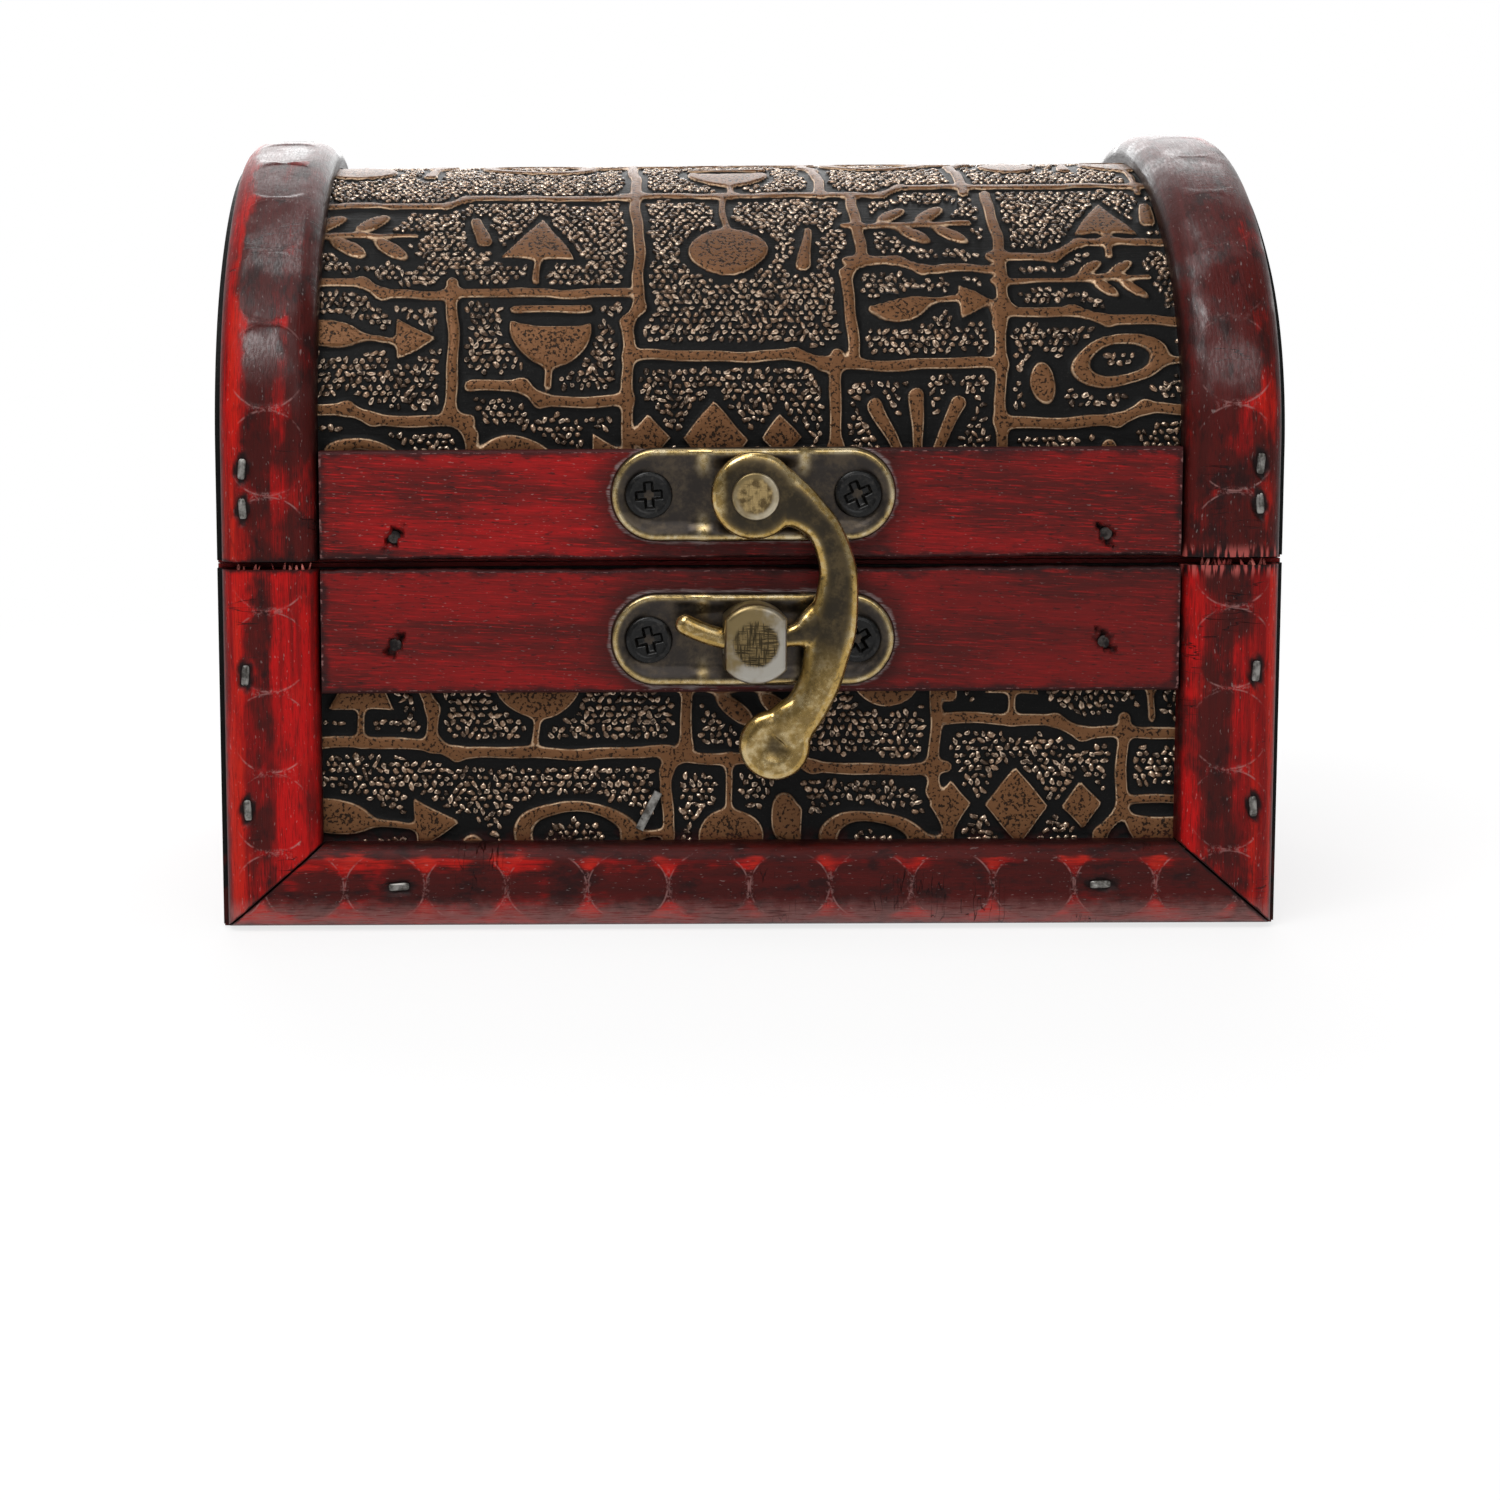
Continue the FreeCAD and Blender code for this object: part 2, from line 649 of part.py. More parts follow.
# Latch
nodes["hook_plate"] = latch_plate(pivot_height, rivet_radius + pin_seat_gap, bridge_face)
nodes["catch_plate"] = latch_plate(catch_middle, catch_tail_radius + pin_seat_gap, plate_face)
nodes["hook_plate_screws"] = Part.makeCompound([plate_screw(x, pivot_height) for x in screw_places])
nodes["catch_plate_screws"] = Part.makeCompound([plate_screw(x, catch_middle) for x in screw_places])
nodes["hook_rivet"] = rivet_shape()
nodes["latch_hook"] = hook_shape()
nodes["catch_block"] = catch_shape()

# Hinges
for middle, (end, word) in zip(hinge_middles, ends):
    nodes["%s_hinge_base_leaf" % word] = drilled(hinge_leaf_shape(middle, -1), hinge_holes[-1])
    nodes["%s_hinge_lid_leaf" % word] = drilled(hinge_leaf_shape(middle, 1), hinge_holes[1])
    nodes["%s_hinge_pin" % word] = hinge_pin(middle)
nodes["hinge_base_screws"] = Part.makeCompound([hinge_screw(x, z) for x, z in hinge_spots[-1]])
nodes["hinge_lid_screws"] = Part.makeCompound([hinge_screw(x, z) for x, z in hinge_spots[1]])

# Lid stop: the back trims' feet meet the back posts' tops at this angle
stop_angle = 2 * math.degrees(math.atan2(seam_gap, 2 * hinge_axis_inset))
print("lid stops at %.1f degrees" % stop_angle)

os.makedirs("parts", exist_ok=True)
for name, shape in sorted(nodes.items()):
    shape.exportStep(os.path.join("parts", name + ".step"))
    state = "valid" if shape.isValid() else "NOT VALID"
    print(name, len(shape.Solids), "solids", "%.1f" % shape.Volume, state)
print(len(nodes), "nodes")
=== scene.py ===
import math

import bpy
import numpy as np
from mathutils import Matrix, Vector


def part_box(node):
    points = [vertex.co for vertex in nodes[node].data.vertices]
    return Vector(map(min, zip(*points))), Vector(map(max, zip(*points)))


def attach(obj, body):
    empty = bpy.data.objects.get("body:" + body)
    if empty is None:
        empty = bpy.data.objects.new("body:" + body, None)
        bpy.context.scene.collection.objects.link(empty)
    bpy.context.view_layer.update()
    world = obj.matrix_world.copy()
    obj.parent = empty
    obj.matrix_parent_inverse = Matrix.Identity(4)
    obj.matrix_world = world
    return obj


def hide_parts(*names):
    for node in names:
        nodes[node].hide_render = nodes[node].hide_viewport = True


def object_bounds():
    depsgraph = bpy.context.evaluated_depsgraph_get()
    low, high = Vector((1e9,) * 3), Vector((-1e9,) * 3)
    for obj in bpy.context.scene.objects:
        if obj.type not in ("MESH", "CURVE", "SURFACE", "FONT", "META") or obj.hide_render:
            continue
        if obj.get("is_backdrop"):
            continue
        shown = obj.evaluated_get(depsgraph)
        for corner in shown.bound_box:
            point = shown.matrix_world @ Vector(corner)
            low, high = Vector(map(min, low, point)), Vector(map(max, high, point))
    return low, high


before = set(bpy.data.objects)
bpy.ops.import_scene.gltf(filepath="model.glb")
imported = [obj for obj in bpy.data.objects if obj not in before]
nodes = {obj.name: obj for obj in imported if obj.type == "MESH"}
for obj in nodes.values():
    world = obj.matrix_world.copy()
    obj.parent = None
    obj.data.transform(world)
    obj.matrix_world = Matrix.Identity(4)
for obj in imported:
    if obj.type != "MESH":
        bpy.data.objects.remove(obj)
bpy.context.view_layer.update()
scene = bpy.context.scene
scene.view_settings.view_transform = "Standard"
print("frame loaded:", len(nodes), "nodes")


# Shader sums

class Wire:
    # an output of a node; sums on it add Math nodes to the same tree
    def __init__(self, tree, socket=None):
        self.tree = tree
        self.socket = socket

    def node(self, kind, settings=None, inputs=None, output=0):
        # any node: its settings first, then a value or a link for each socket
        made = self.tree.nodes.new(kind)
        for key, value in (settings or {}).items():
            setattr(made, key, value)
        for key, value in (inputs or {}).items():
            if isinstance(value, Wire):
                self.tree.links.new(value.socket, made.inputs[key])
            else:
                made.inputs[key].default_value = value
        return Wire(self.tree, made.outputs[output] if made.outputs else None)

    def math(self, operation, *values):
        return self.node("ShaderNodeMath", {"operation": operation}, dict(enumerate(values)))

    def __add__(self, other):
        return self.math("ADD", self, other)

    def __sub__(self, other):
        return self.math("SUBTRACT", self, other)

    def __rsub__(self, other):
        return self.math("SUBTRACT", other, self)

    def __mul__(self, other):
        return self.math("MULTIPLY", self, other)

    def __truediv__(self, other):
        return self.math("DIVIDE", self, other)

    def __pow__(self, other):
        return self.math("POWER", self, other)

    def __abs__(self):
        return self.math("ABSOLUTE", self)

    __radd__ = __add__
    __rmul__ = __mul__


def newFinish(name):
    material = bpy.data.materials.new(name)
    material.use_nodes = True
    material.node_tree.nodes.clear()
    return material, Wire(material.node_tree)


def close(start, sockets):
    # Principled shader with these sockets, joined to the output
    shader = start.node("ShaderNodeBsdfPrincipled", {}, sockets)
    start.node("ShaderNodeOutputMaterial", {}, {"Surface": shader})


def mix(factor, a, b):
    return factor.node("ShaderNodeMix", {"data_type": "RGBA"}, {0: factor, 6: a, 7: b}, 2)


def ease(value, low, high):
    # smooth step from 0 at low to 1 at high
    return value.node("ShaderNodeMapRange", {"interpolation_type": "SMOOTHSTEP"},
                      {"Value": value, "From Min": low, "From Max": high})


def fall(value, low, high):
    # smooth step from 1 at low to 0 at high
    return 1 - ease(value, low, high)


def larger(a, b):
    return a.math("MAXIMUM", a, b)


def noise(vector, scale, detail=2.0, rough=0.5):
    return vector.node("ShaderNodeTexNoise", {}, {"Vector": vector, "Scale": scale, "Detail": detail,
                                                  "Roughness": rough})


def stretch(vector, scale):
    return vector.node("ShaderNodeMapping", {}, {"Vector": vector, "Scale": scale})


def drawnNoise(place, along, across, detail=2.0, rough=0.5):
    # noise with one fineness along the first axis and another across it
    return noise(stretch(place, (along, across, across)), 1.0, detail, rough)


def pick(vector, axis):
    return vector.node("ShaderNodeSeparateXYZ", {}, {"Vector": vector}, axis)


def objectPlace(start):
    # Object coordinates in millimetres
    place = start.node("ShaderNodeTexCoord", {}, {}, "Object")
    return start.node("ShaderNodeVectorMath", {"operation": "SCALE"}, {"Vector": place, "Scale": 1000.0})


def attribute(start, name, output="Fac"):
    return start.node("ShaderNodeAttribute", {"attribute_name": name}, {}, output)


def bump(height, strength=1.0):
    # height in millimetres
    return height.node("ShaderNodeBump", {}, {"Height": height, "Strength": strength, "Distance": 0.001})


def colour(red, green, blue):
    return (red, green, blue, 1.0)


# Meshes

def gridFaces(rows, cols, closed=False):
    # four corners of each cell; closed joins the last column to the first
    row = np.arange(rows - 1)[:, None]
    col = np.arange(cols if closed else cols - 1)[None, :]
    right = (col + 1) % cols
    corners = [row * cols + col, (row + 1) * cols + col, (row + 1) * cols + right, row * cols + right]
    return np.stack(np.broadcast_arrays(*corners), -1).reshape(-1, 4)


def fanFaces(ring, middle):
    # triangles from each side of a ring of points to one middle point
    return np.stack([ring, np.roll(ring, -1), np.full(len(ring), middle)], -1)


def tubeMesh(rings):
    # rings of points along a path, joined, with each end closed by a fan to the ring's middle
    rows, cols = rings.shape[:2]
    count = rows * cols
    points = np.concatenate([rings.reshape(-1, 3), rings[[0, -1]].mean(axis=1)])
    ends = np.concatenate([fanFaces(np.arange(cols), count)[:, ::-1],
                           fanFaces(np.arange(count - cols, count), count + 1)])
    return points, [gridFaces(rows, cols, True), ends]


def tubeValues(values):
    # values on rings, carried to the two end middles
    return np.concatenate([values.reshape((-1,) + values.shape[2:]), values[[0, -1]].mean(axis=1)])


def joined(lumps):
    # several meshes of quads and triangles as one
    starts = np.cumsum([0] + [len(points) for points, faceSets in lumps])
    points = np.concatenate([points for points, faceSets in lumps])
    return points, [np.concatenate([faceSets[i] + start for (p, faceSets), start in zip(lumps, starts)])
                    for i in (0, 1)]


def putPiece(name, body, slot, material, points, faceSets, stands=(), values=None, sharp=40):
    # points in millimetres; faces turned so that their sum points away from the chest's middle
    points = np.asarray(points, float) * 0.001
    middle = np.array([0.0, 0.0, 0.03])
    turn = 0.0
    for faces in faceSets:
        a, b, c = (points[faces[:, i]] - middle for i in range(3))
        turn += np.einsum("ij,ij->", a, np.cross(b - a, c - a))
    if turn < 0:
        faceSets = [faces[:, ::-1] for faces in faceSets]
    corners = np.concatenate([faces.ravel() for faces in faceSets]).astype(np.int32)
    counts = np.concatenate([np.full(len(faces), faces.shape[1]) for faces in faceSets])
    starts = np.concatenate([[0], np.cumsum(counts)[:-1]]).astype(np.int32)
    mesh = bpy.data.meshes.new(name)
    mesh.vertices.add(len(points))
    mesh.vertices.foreach_set("co", points.astype(np.float32).ravel())
    mesh.loops.add(len(corners))
    mesh.loops.foreach_set("vertex_index", corners)
    mesh.polygons.add(len(counts))
    mesh.polygons.foreach_set("loop_start", starts)
    mesh.polygons.foreach_set("use_smooth", np.ones(len(counts), bool))
    for key, value in (values or {}).items():
        flat = np.asarray(value, np.float32)
        made = mesh.attributes.new(key, "FLOAT" if flat.ndim == 1 else "FLOAT_VECTOR", "POINT")
        made.data.foreach_set("value" if flat.ndim == 1 else "vector", flat.ravel())
    mesh.update(calc_edges=True)
    mesh.validate()
    mesh.set_sharp_from_angle(angle=math.radians(sharp))
    mesh.materials.append(material)
    piece = bpy.data.objects.new(name, mesh)
    scene.collection.objects.link(piece)
    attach(piece, body)
    if stands:
        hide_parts(*stands)
    return piece


def corners(node):
    # a CAD node's lowest and highest corner in millimetres
    low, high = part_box(node)
    return np.array(low) * 1000, np.array(high) * 1000


def middleOf(node):
    return sum(corners(node)) / 2


def smooth(value, low, high):
    t = np.clip((value - low) / (high - low), 0, 1)
    return t * t * (3 - 2 * t)


# Lid arch, from the front foot over the crown to the back foot, by arc length on the leather's face

sheetLow, sheetHigh = corners("lid_leather")
arch = dict(springRise=10.5, shoulderShare=0.839)
arch["foot"] = sheetLow[2]
arch["spring"] = arch["foot"] + arch["springRise"]
arch["rise"] = sheetHigh[2] - arch["spring"]
arch["out"] = sheetHigh[1]
arch["shoulder"] = arch["shoulderShare"] * arch["rise"]
arch["shoulderMiddle"] = arch["out"] - arch["shoulder"]
arch["crown"] = ((arch["shoulderMiddle"] ** 2 + arch["rise"] ** 2 - arch["shoulder"] ** 2)
                 / (2 * (arch["rise"] - arch["shoulder"])))
arch["crownMiddle"] = sheetHigh[2] - arch["crown"]
arch["turn"] = math.atan2(arch["spring"] - arch["crownMiddle"], arch["shoulderMiddle"])
arch["bend"] = arch["shoulder"] * arch["turn"]
arch["top"] = arch["crown"] * (math.pi - 2 * arch["turn"])
arch["length"] = 2 * arch["springRise"] + 2 * arch["bend"] + arch["top"]


def onArch(s, out):
    # the turn grows evenly along each arc, and the point stands off its arc's middle by radius plus out
    leg, bend, top, turn = arch["springRise"], arch["bend"], arch["top"], arch["turn"]
    stops = np.cumsum([0, leg, bend, top, bend, leg])
    angle = np.interp(s, stops, [0, 0, turn, math.pi - turn, math.pi, math.pi])
    onCrown = (s > stops[2]) & (s < stops[3])
    middleY = np.where(onCrown, 0, np.where(s < arch["length"] / 2, -1, 1) * arch["shoulderMiddle"])
    middleZ = np.where(onCrown, arch["crownMiddle"], arch["spring"])
    radius = np.where(onCrown, arch["crown"], arch["shoulder"]) + out
    y = middleY - radius * np.cos(angle)
    z = middleZ + radius * np.sin(angle)
    return y, z - np.clip(leg - s, 0, None) - np.clip(s - stops[4], 0, None)


# Wood finishes

reds = dict(bright=colour(0.385, 0.003, 0.003), middle=colour(0.17, 0.002, 0.002),
            orange=colour(0.41, 0.015, 0.004), deep=colour(0.055, 0.003, 0.002),
            maroon=colour(0.032, 0.004, 0.003), burnt=colour(0.008, 0.003, 0.003), pale=colour(0.30, 0.15, 0.14),
            torn=colour(0.36, 0.075, 0.065), scuff=colour(0.30, 0.26, 0.25))


def woodPlace(start, order):
    # along the grain, across it, and out, in millimetres: from the strip's own attribute or from Object axes
    if order == "strip":
        return attribute(start, "strip", "Vector")
    place = objectPlace(start)
    return start.node("ShaderNodeCombineXYZ", {}, {i: pick(place, axis) for i, axis in enumerate(order)})


def grain(place):
    # broad stain, long streaks, fine fibres and short dark pores
    return (drawnNoise(place, 0.05, 0.2, 3.0), drawnNoise(place, 0.035, 0.75, 4.0, 0.6),
            drawnNoise(place, 0.45, 7.0, 3.0, 0.65), drawnNoise(place, 0.9, 4.5))


def stripFinish(name, look):
    # rounded strips: red streaks, dark burnished clouds in a row of coin prints, pale lines round the prints,
    # painted shade on some halves and sides, and pale dust near the floor that is partly a painted reflection of
    # it
    material, start = newFinish(name)
    place = woodPlace(start, "strip")
    stain, streak, fibre, pore = grain(place)
    along, across = pick(place, 0), pick(place, 1)
    prints = along / look["pitch"]
    local = (prints - prints.math("FLOOR", prints) - 0.5) * look["pitch"]
    radius = (local * local + across * across) ** 0.5
    rough = noise(place, 0.9, 3.0, 0.6)
    # this attribute carries burnish wear together with painted shade: one half of each post and trim, and the
    # trims' inner and the mouldings' upper sides
    press, burnWearAndShade, wedge = attribute(start, "press"), attribute(start, "burnAndShade"), attribute(start, "wedge")
    cloud = drawnNoise(place, 0.16, 0.26, 3.0, 0.6)
    outer = ease(across + (rough - 0.5) * 1.5, 0.8, 3.9)
    red = mix(ease(streak + (stain - 0.5) * 0.7, 0.40, 0.60), reds["middle"], reds["bright"])
    red = mix(outer * ease(streak, 0.4, 0.6) * 0.6, red, reds["orange"])
    red = mix(wedge * (0.3 + streak) * 0.7, red, reds["orange"])
    red = mix(ease(fibre, 0.46, 0.72) * 0.6, red, reds["deep"])
    burnAndShade = ease(cloud * 1.7 + press * 0.17 + burnWearAndShade * 0.62 - outer * 0.45 + (fibre - 0.5) * 0.4, 1.0, 1.55)
    red = mix(burnAndShade * look["burnAndShade"], red, reds["maroon"])
    char = burnAndShade * ease(drawnNoise(place, 0.3, 0.55, 4.0, 0.65), 0.48, 0.66)
    red = mix(char * look["char"], red, reds["burnt"])
    red = mix(ease(pore, 0.6, 0.7) * 0.35, red, reds["burnt"])
    arcs = fall(abs(radius - look["radius"]), 0.02, 0.13) * fall(abs(across), 2.5, 3.7)
    joint = fall(look["pitch"] / 2 - abs(local), 0.1, 0.55) * fall(abs(across), 1.0, 2.6)
    crumbs = joint * ease(noise(place, 2.4, 3.0, 0.7), 0.5, 0.62)
    up = pick(objectPlace(start), 2)
    rims = larger(arcs * ease(rough, 0.42, 0.62), crumbs * 0.8) * (1 - 0.75 * ease(up, 52.0, 62.0))
    red = mix(rims * 0.55, red, reds["pale"])
    fleck = ease(drawnNoise(place, 1.5, 4.0), 0.66, 0.74)
    red = mix(fleck * 0.3, red, reds["scuff"])
    # pale near the floor: partly dust and partly a painted reflection of the white floor on the lower rounding
    dust = fall(up + (rough - 0.5) * 1.4, 0.9, 3.7) * ease(fibre, 0.25, 0.55)
    red = mix(dust * 0.6, red, reds["pale"])
    edge = ease(abs(across) + (rough - 0.5) * 0.6, 4.15, 4.8)
    torn = fall(attribute(start, "edge") + (rough - 0.5) * 1.2, 0.0, 0.55)
    hole = attribute(start, "hole")
    dark = larger(edge * 0.8, larger(torn * 0.9, hole))
    crack = fall(abs(drawnNoise(place, 1.1, 0.12) - 0.5), 0.0, 0.012) * ease(noise(place, 0.16, 1.0), 0.6, 0.66)
    red = mix(larger(dark, crack * look["cracks"]), red, reds["burnt"])
    comb = noise(stretch(place, (0.3, 2.3, 0.5)), 1.0, 2.0)
    fray = attribute(start, "fray")
    red = mix(fray * fall(comb, 0.42, 0.5), red, reds["burnt"])
    red = mix(fray * ease(comb, 0.5, 0.58) * 0.8, red, reds["torn"])
    shine = 0.34 + fibre * 0.2 - burnAndShade * 0.06
    height = fibre * 0.05 + streak * 0.03 + rims * 0.03 - crack * 0.12 + rough * 0.05
    rubbed = ease(drawnNoise(place, 1.6, 5.0, 3.0), 0.4, 0.64)
    patch = ease(noise(place, 0.16, 2.0), 0.44, 0.58)
    polish = ease(up, 50.0, 58.0) * (1 - 0.45 * ease(up, 66.0, 71.0)) * burnAndShade * (0.45 + 0.55 * rubbed)
    close(start, {"Base Color": red, "Roughness": shine, "Specular IOR Level": 0.12,
                  "Coat Weight": polish * (0.12 + 0.88 * patch), "Coat Roughness": 0.22, "Normal": bump(height)})
    return material


def railFinish(name, look):
    # flat rails and boards: red stain with long grain, dark worn edges, painted shade round the plates and towards
    # the right, and pale scuffs beside the plates
    material, start = newFinish(name)
    place = woodPlace(start, look["order"])
    place = place.node("ShaderNodeMapping", {}, {"Vector": place, "Rotation": (0, 0, 0.05)})
    stain, streak, fibre, pore = grain(place)
    red = mix(ease(stain * 0.55 + streak * 0.45, 0.41, 0.59), look["low"], look["high"])
    thin = drawnNoise(place, 0.3, 5.6, 3.0, 0.65)
    red = mix(ease(thin, 0.5, 0.7) * look["fibres"], red, look["lines"])
    red = mix(ease(fibre, 0.5, 0.74) * look["fibres"], red, reds["deep"])
    red = mix(ease(pore, 0.6, 0.7) * look["pores"], red, reds["burnt"])
    fleck = ease(drawnNoise(place, 1.5, 5.0), 0.65, 0.75)
    red = mix(fleck * 0.35, red, reds["scuff"])
    height = fibre * 0.05 + thin * 0.04 - ease(pore, 0.62, 0.7) * 0.03
    if look["worn"]:
        rough = noise(stretch(place, (0.5, 1.0, 1.0)), 0.8, 3.0, 0.6)
        gap, plate = attribute(start, "edge"), attribute(start, "plate")
        edge = fall(gap + (rough - 0.5) * 2.4, 0.0, look["worn"])
        # darker on the base rails, and painted shade darker towards the right
        red = mix(attribute(start, "stain") * (0.5 + streak), red, reds["maroon"])
        red = mix(edge * 0.85, red, reds["burnt"])
        # painted shade round the latch plates and under the hook
        shade = fall(plate + (rough - 0.5) * 2.4, 0.2, 3.2)
        red = mix(shade * 0.7, red, reds["maroon"])
        halo = fall(plate + (rough - 0.5) * 0.9, 0.05, 0.45) * ease(fibre, 0.35, 0.6)
        red = mix(halo * 0.6, red, reds["scuff"])
        fuzz = fall(abs(gap), 0.08, 0.3) * ease(noise(place, 2.2, 3.0), 0.52, 0.64)
        red = mix(fuzz * 0.5, red, reds["pale"])
        red = mix(attribute(start, "hole"), red, reds["burnt"])
    close(start, {"Base Color": red, "Roughness": 0.44 + fibre * 0.2, "Specular IOR Level": 0.16,
                  "Normal": bump(height)})
    return material


stripLook = dict(pitch=8.05, radius=3.95, burnAndShade=0.92, char=0.75, cracks=0.9)
railLook = dict(order="strip", low=colour(0.075, 0.004, 0.003), high=colour(0.24, 0.003, 0.003),
                lines=colour(0.40, 0.005, 0.005), fibres=0.8, pores=0.7, worn=1.0)
boardLook = dict(order=(1, 2, 0), low=colour(0.10, 0.006, 0.005), high=colour(0.24, 0.009, 0.008),
                 lines=colour(0.33, 0.014, 0.012), fibres=0.6, pores=0.5, worn=0)
lengthLook = dict(boardLook, order=(0, 2, 1), low=colour(0.05, 0.006, 0.005), high=colour(0.14, 0.007, 0.006),
                  lines=colour(0.18, 0.009, 0.008))
floorLook = dict(lengthLook, order=(0, 1, 2))
stripWood = stripFinish("red_strip_wood", stripLook)
railWood = railFinish("red_rail_wood", railLook)
endWood = railFinish("red_end_board", boardLook)
longWood = railFinish("stained_long_board", lengthLook)
panelWood = railFinish("stained_panel", floorLook)
tornWood = railFinish("torn_wood", dict(boardLook, low=colour(0.20, 0.03, 0.025),
                                        high=colour(0.5, 0.16, 0.13)))


# Rounded strips

# strip lean and the line near the middle set the strength and place of the painted shade on one half of each post
# and trim; the inner and upper wear are partly painted shade
strip = dict(side=0.8, round=3.2, around=54, step=0.27, press=0.22, bowl=0.06, dip=0.34, lean=0.3, seam=0.2,
             fray=1.5, plainer=0.7, topWear=0.45, topFrom=(13, 27), upperWearAndShade=1.15, lowerWear=-0.34, leftWear=-0.4,
             innerWearAndShade=0.5, outerWear=dict(left=0.0, right=0.65), printWear=0.3, wedgeWear=-0.45,
             faded=dict(trim_left=0.35, trim_right=0.8), fadeFrom=(8, 22), shift=1.6, mitreGap=0.2,
             burns=dict(trim_left=0.6, trim_right=0.8, front_left_post=0.37, front_right_post=0.5,
                        front_moulding=1.06, back_moulding=1.0, back_left_post=0.5, back_right_post=0.6))
bradHalf = dict(long=1.1, short=0.5)


def stripSection():
    # across, and height above the strip's back, from one foot over the crown to the other
    share = np.sin(np.linspace(-math.pi / 2, math.pi / 2, strip["around"]))
    crown = np.sqrt(np.clip(1 - np.abs(share) ** strip["round"], 0, None))
    height = strip["side"] + (strip["thick"] - strip["side"]) * crown
    return np.concatenate([[-1], share, [1]]) * strip["half"], np.concatenate([[0], height, [0]])


def fromCoin(along, across):
    # distance along from the middle of the nearest coin print, and straight from it
    local = (along / stripLook["pitch"] % 1 - 0.5) * stripLook["pitch"]
    return local, np.hypot(local, across)


def coinPress(along, across, height, depth):
    # round flat punches in a row: inside each circle nothing stands above the punch's slightly bowled face;
    # depth is the share of each punch that is left
    radius = fromCoin(along, across)[1]
    bowl = strip["bowl"] * np.clip(1 - (radius / stripLook["radius"]) ** 2, 0, None)
    face = strip["thick"] - strip["press"] - bowl
    inside = smooth(stripLook["radius"] - radius, -0.06, 0.12)
    pressed = np.clip(height - face, 0, None) * inside * depth
    return height - pressed, inside * smooth(pressed, 0.0, 0.08)


def bradDips(along, across, spots):
    # long dark dips round the brads, as a share from 0 to 1
    gap = np.full(along.shape, 9.0)
    for at, side in spots:
        gap = np.minimum(gap, np.hypot((along - at) / 2.0, (across - side) / 1.05))
    return 1 - smooth(gap + 0.1 * np.sin(3.1 * along + 5 * across), 0.6, 1.0)


def putStrip(name, body, node, along, place, serial, spots, ends, half, wear):
    # the section carried along a path: place(along, across, height) gives the points; the half on one side of
    # a line near the middle gets painted shade and the other half a lighter tone, by more and less along the
    # strip, standing in for a reflection on the print facets, and the given darkening, partly wear and partly
    # painted shade, is added to it
    across, height = stripSection()
    along = along[:, None] * np.ones(len(across)) if along.ndim == 1 else along
    wide = np.broadcast_to(across, along.shape)
    fromEnd = np.minimum(along - along[0], along[-1] - along)
    depth = 1 - strip["faded"].get(name, 0.0) * smooth(fromEnd, *strip["fadeFrom"])
    tall, press = coinPress(along, wide, np.broadcast_to(height, along.shape), depth)
    hole = bradDips(along, wide, spots)
    tall = tall - strip["dip"] * hole * smooth(tall, 1.0, 2.0)
    rings = np.stack(np.broadcast_arrays(*place(along, wide, tall)), -1)
    points, faceSets = tubeMesh(rings)
    spread = along + serial * 37 * stripLook["pitch"]
    edge = np.full(along.shape, 9.0)
    for end in ends:
        edge = np.minimum(edge, np.abs(along - end))
    fray = (1 - smooth(edge, 0.3, strip["fray"])) * np.clip(0.65 * half + 0.35, 0, 1) * abs(half)
    edge = np.minimum(edge, 2 * np.abs(along - along[0]))
    # painted shade on one half of each post and trim and a lighter other half: lit and shaded halves standing in
    # for a reflection on the print facets
    lean = np.tanh((strip["seam"] - half * wide) / 0.25) * (1 - smooth(np.abs(wide), 2.4, 3.8)) * abs(half)
    lean = lean * (0.65 + 0.35 * np.sin(0.31 * along + 2.3 * serial))
    local, radius = fromCoin(along, wide)
    clear = 1 - strip["plainer"] * abs(half)
    inside = smooth(stripLook["radius"] - radius, -0.1, 0.5) * clear
    aside = np.abs(wide)
    wedge = smooth(radius - stripLook["radius"], -0.1, 0.4) * (0.6 + 0.4 * np.sin(1.9 * along))
    wedge = wedge * smooth(aside, 1.2, 2.4) * (1 - smooth(aside, 3.3, 4.1)) * clear
    turned = np.tanh((local + 1.5 * np.sin(0.7 * along + serial)) / 1.5) * (1 - abs(half))
    wear = wear + strip["printWear"] * inside * (1 + 0.7 * turned) + strip["wedgeWear"] * wedge
    values = dict(strip=np.stack([spread, wide, tall], -1), press=press, hole=hole, edge=edge, wedge=wedge,
                  fray=fray, burnAndShade=strip["burns"][name] + strip["lean"] * lean + wear)
    values = {key: tubeValues(value) for key, value in values.items()}
    putPiece(name, body, "red_wood", stripWood, points, faceSets, [node], values, 55)


low, high = corners("lid_right_trim")
strip["half"] = (high[0] - low[0]) / 2
strip["thick"] = high[1] - arch["out"]
trimMiddle = (high[0] + low[0]) / 2
trimShift = strip["shift"]
bradLow, bradHigh = corners("lid_trim_brads")
bradSide = bradHigh[0] - bradHalf["short"] - trimMiddle
for end, word in ((-1, "left"), (1, "right")):
    runs = np.linspace(0, arch["length"], int(arch["length"] / strip["step"]))
    across = stripSection()[0]

    def overLid(along, across, height):
        return (end * (trimMiddle + across), *onArch(along - trimShift, height))

    heights = [bradLow[2] + bradHalf["long"], bradHigh[2] - bradHalf["long"]]
    spots = [(z - arch["foot"] + trimShift, bradSide) for z in heights]
    spots += [(arch["length"] + 2 * trimShift - at, bradSide) for at, aside in spots]
    # the trims' inner sides are darkened, partly as wear and partly as painted shade beside the leather
    putStrip("trim_" + word, "lid", "lid_%s_trim" % word, runs + trimShift, overLid, 3 + end, spots,
             (trimShift, arch["length"] + trimShift), end,
             strip["topWear"] * smooth(np.minimum(runs, arch["length"] - runs), *strip["topFrom"])[:, None]
             + strip["outerWear"][word] * smooth(across, 0.4, 2.4)
             + strip["innerWearAndShade"] * smooth(-across, 1.6, 2.8))

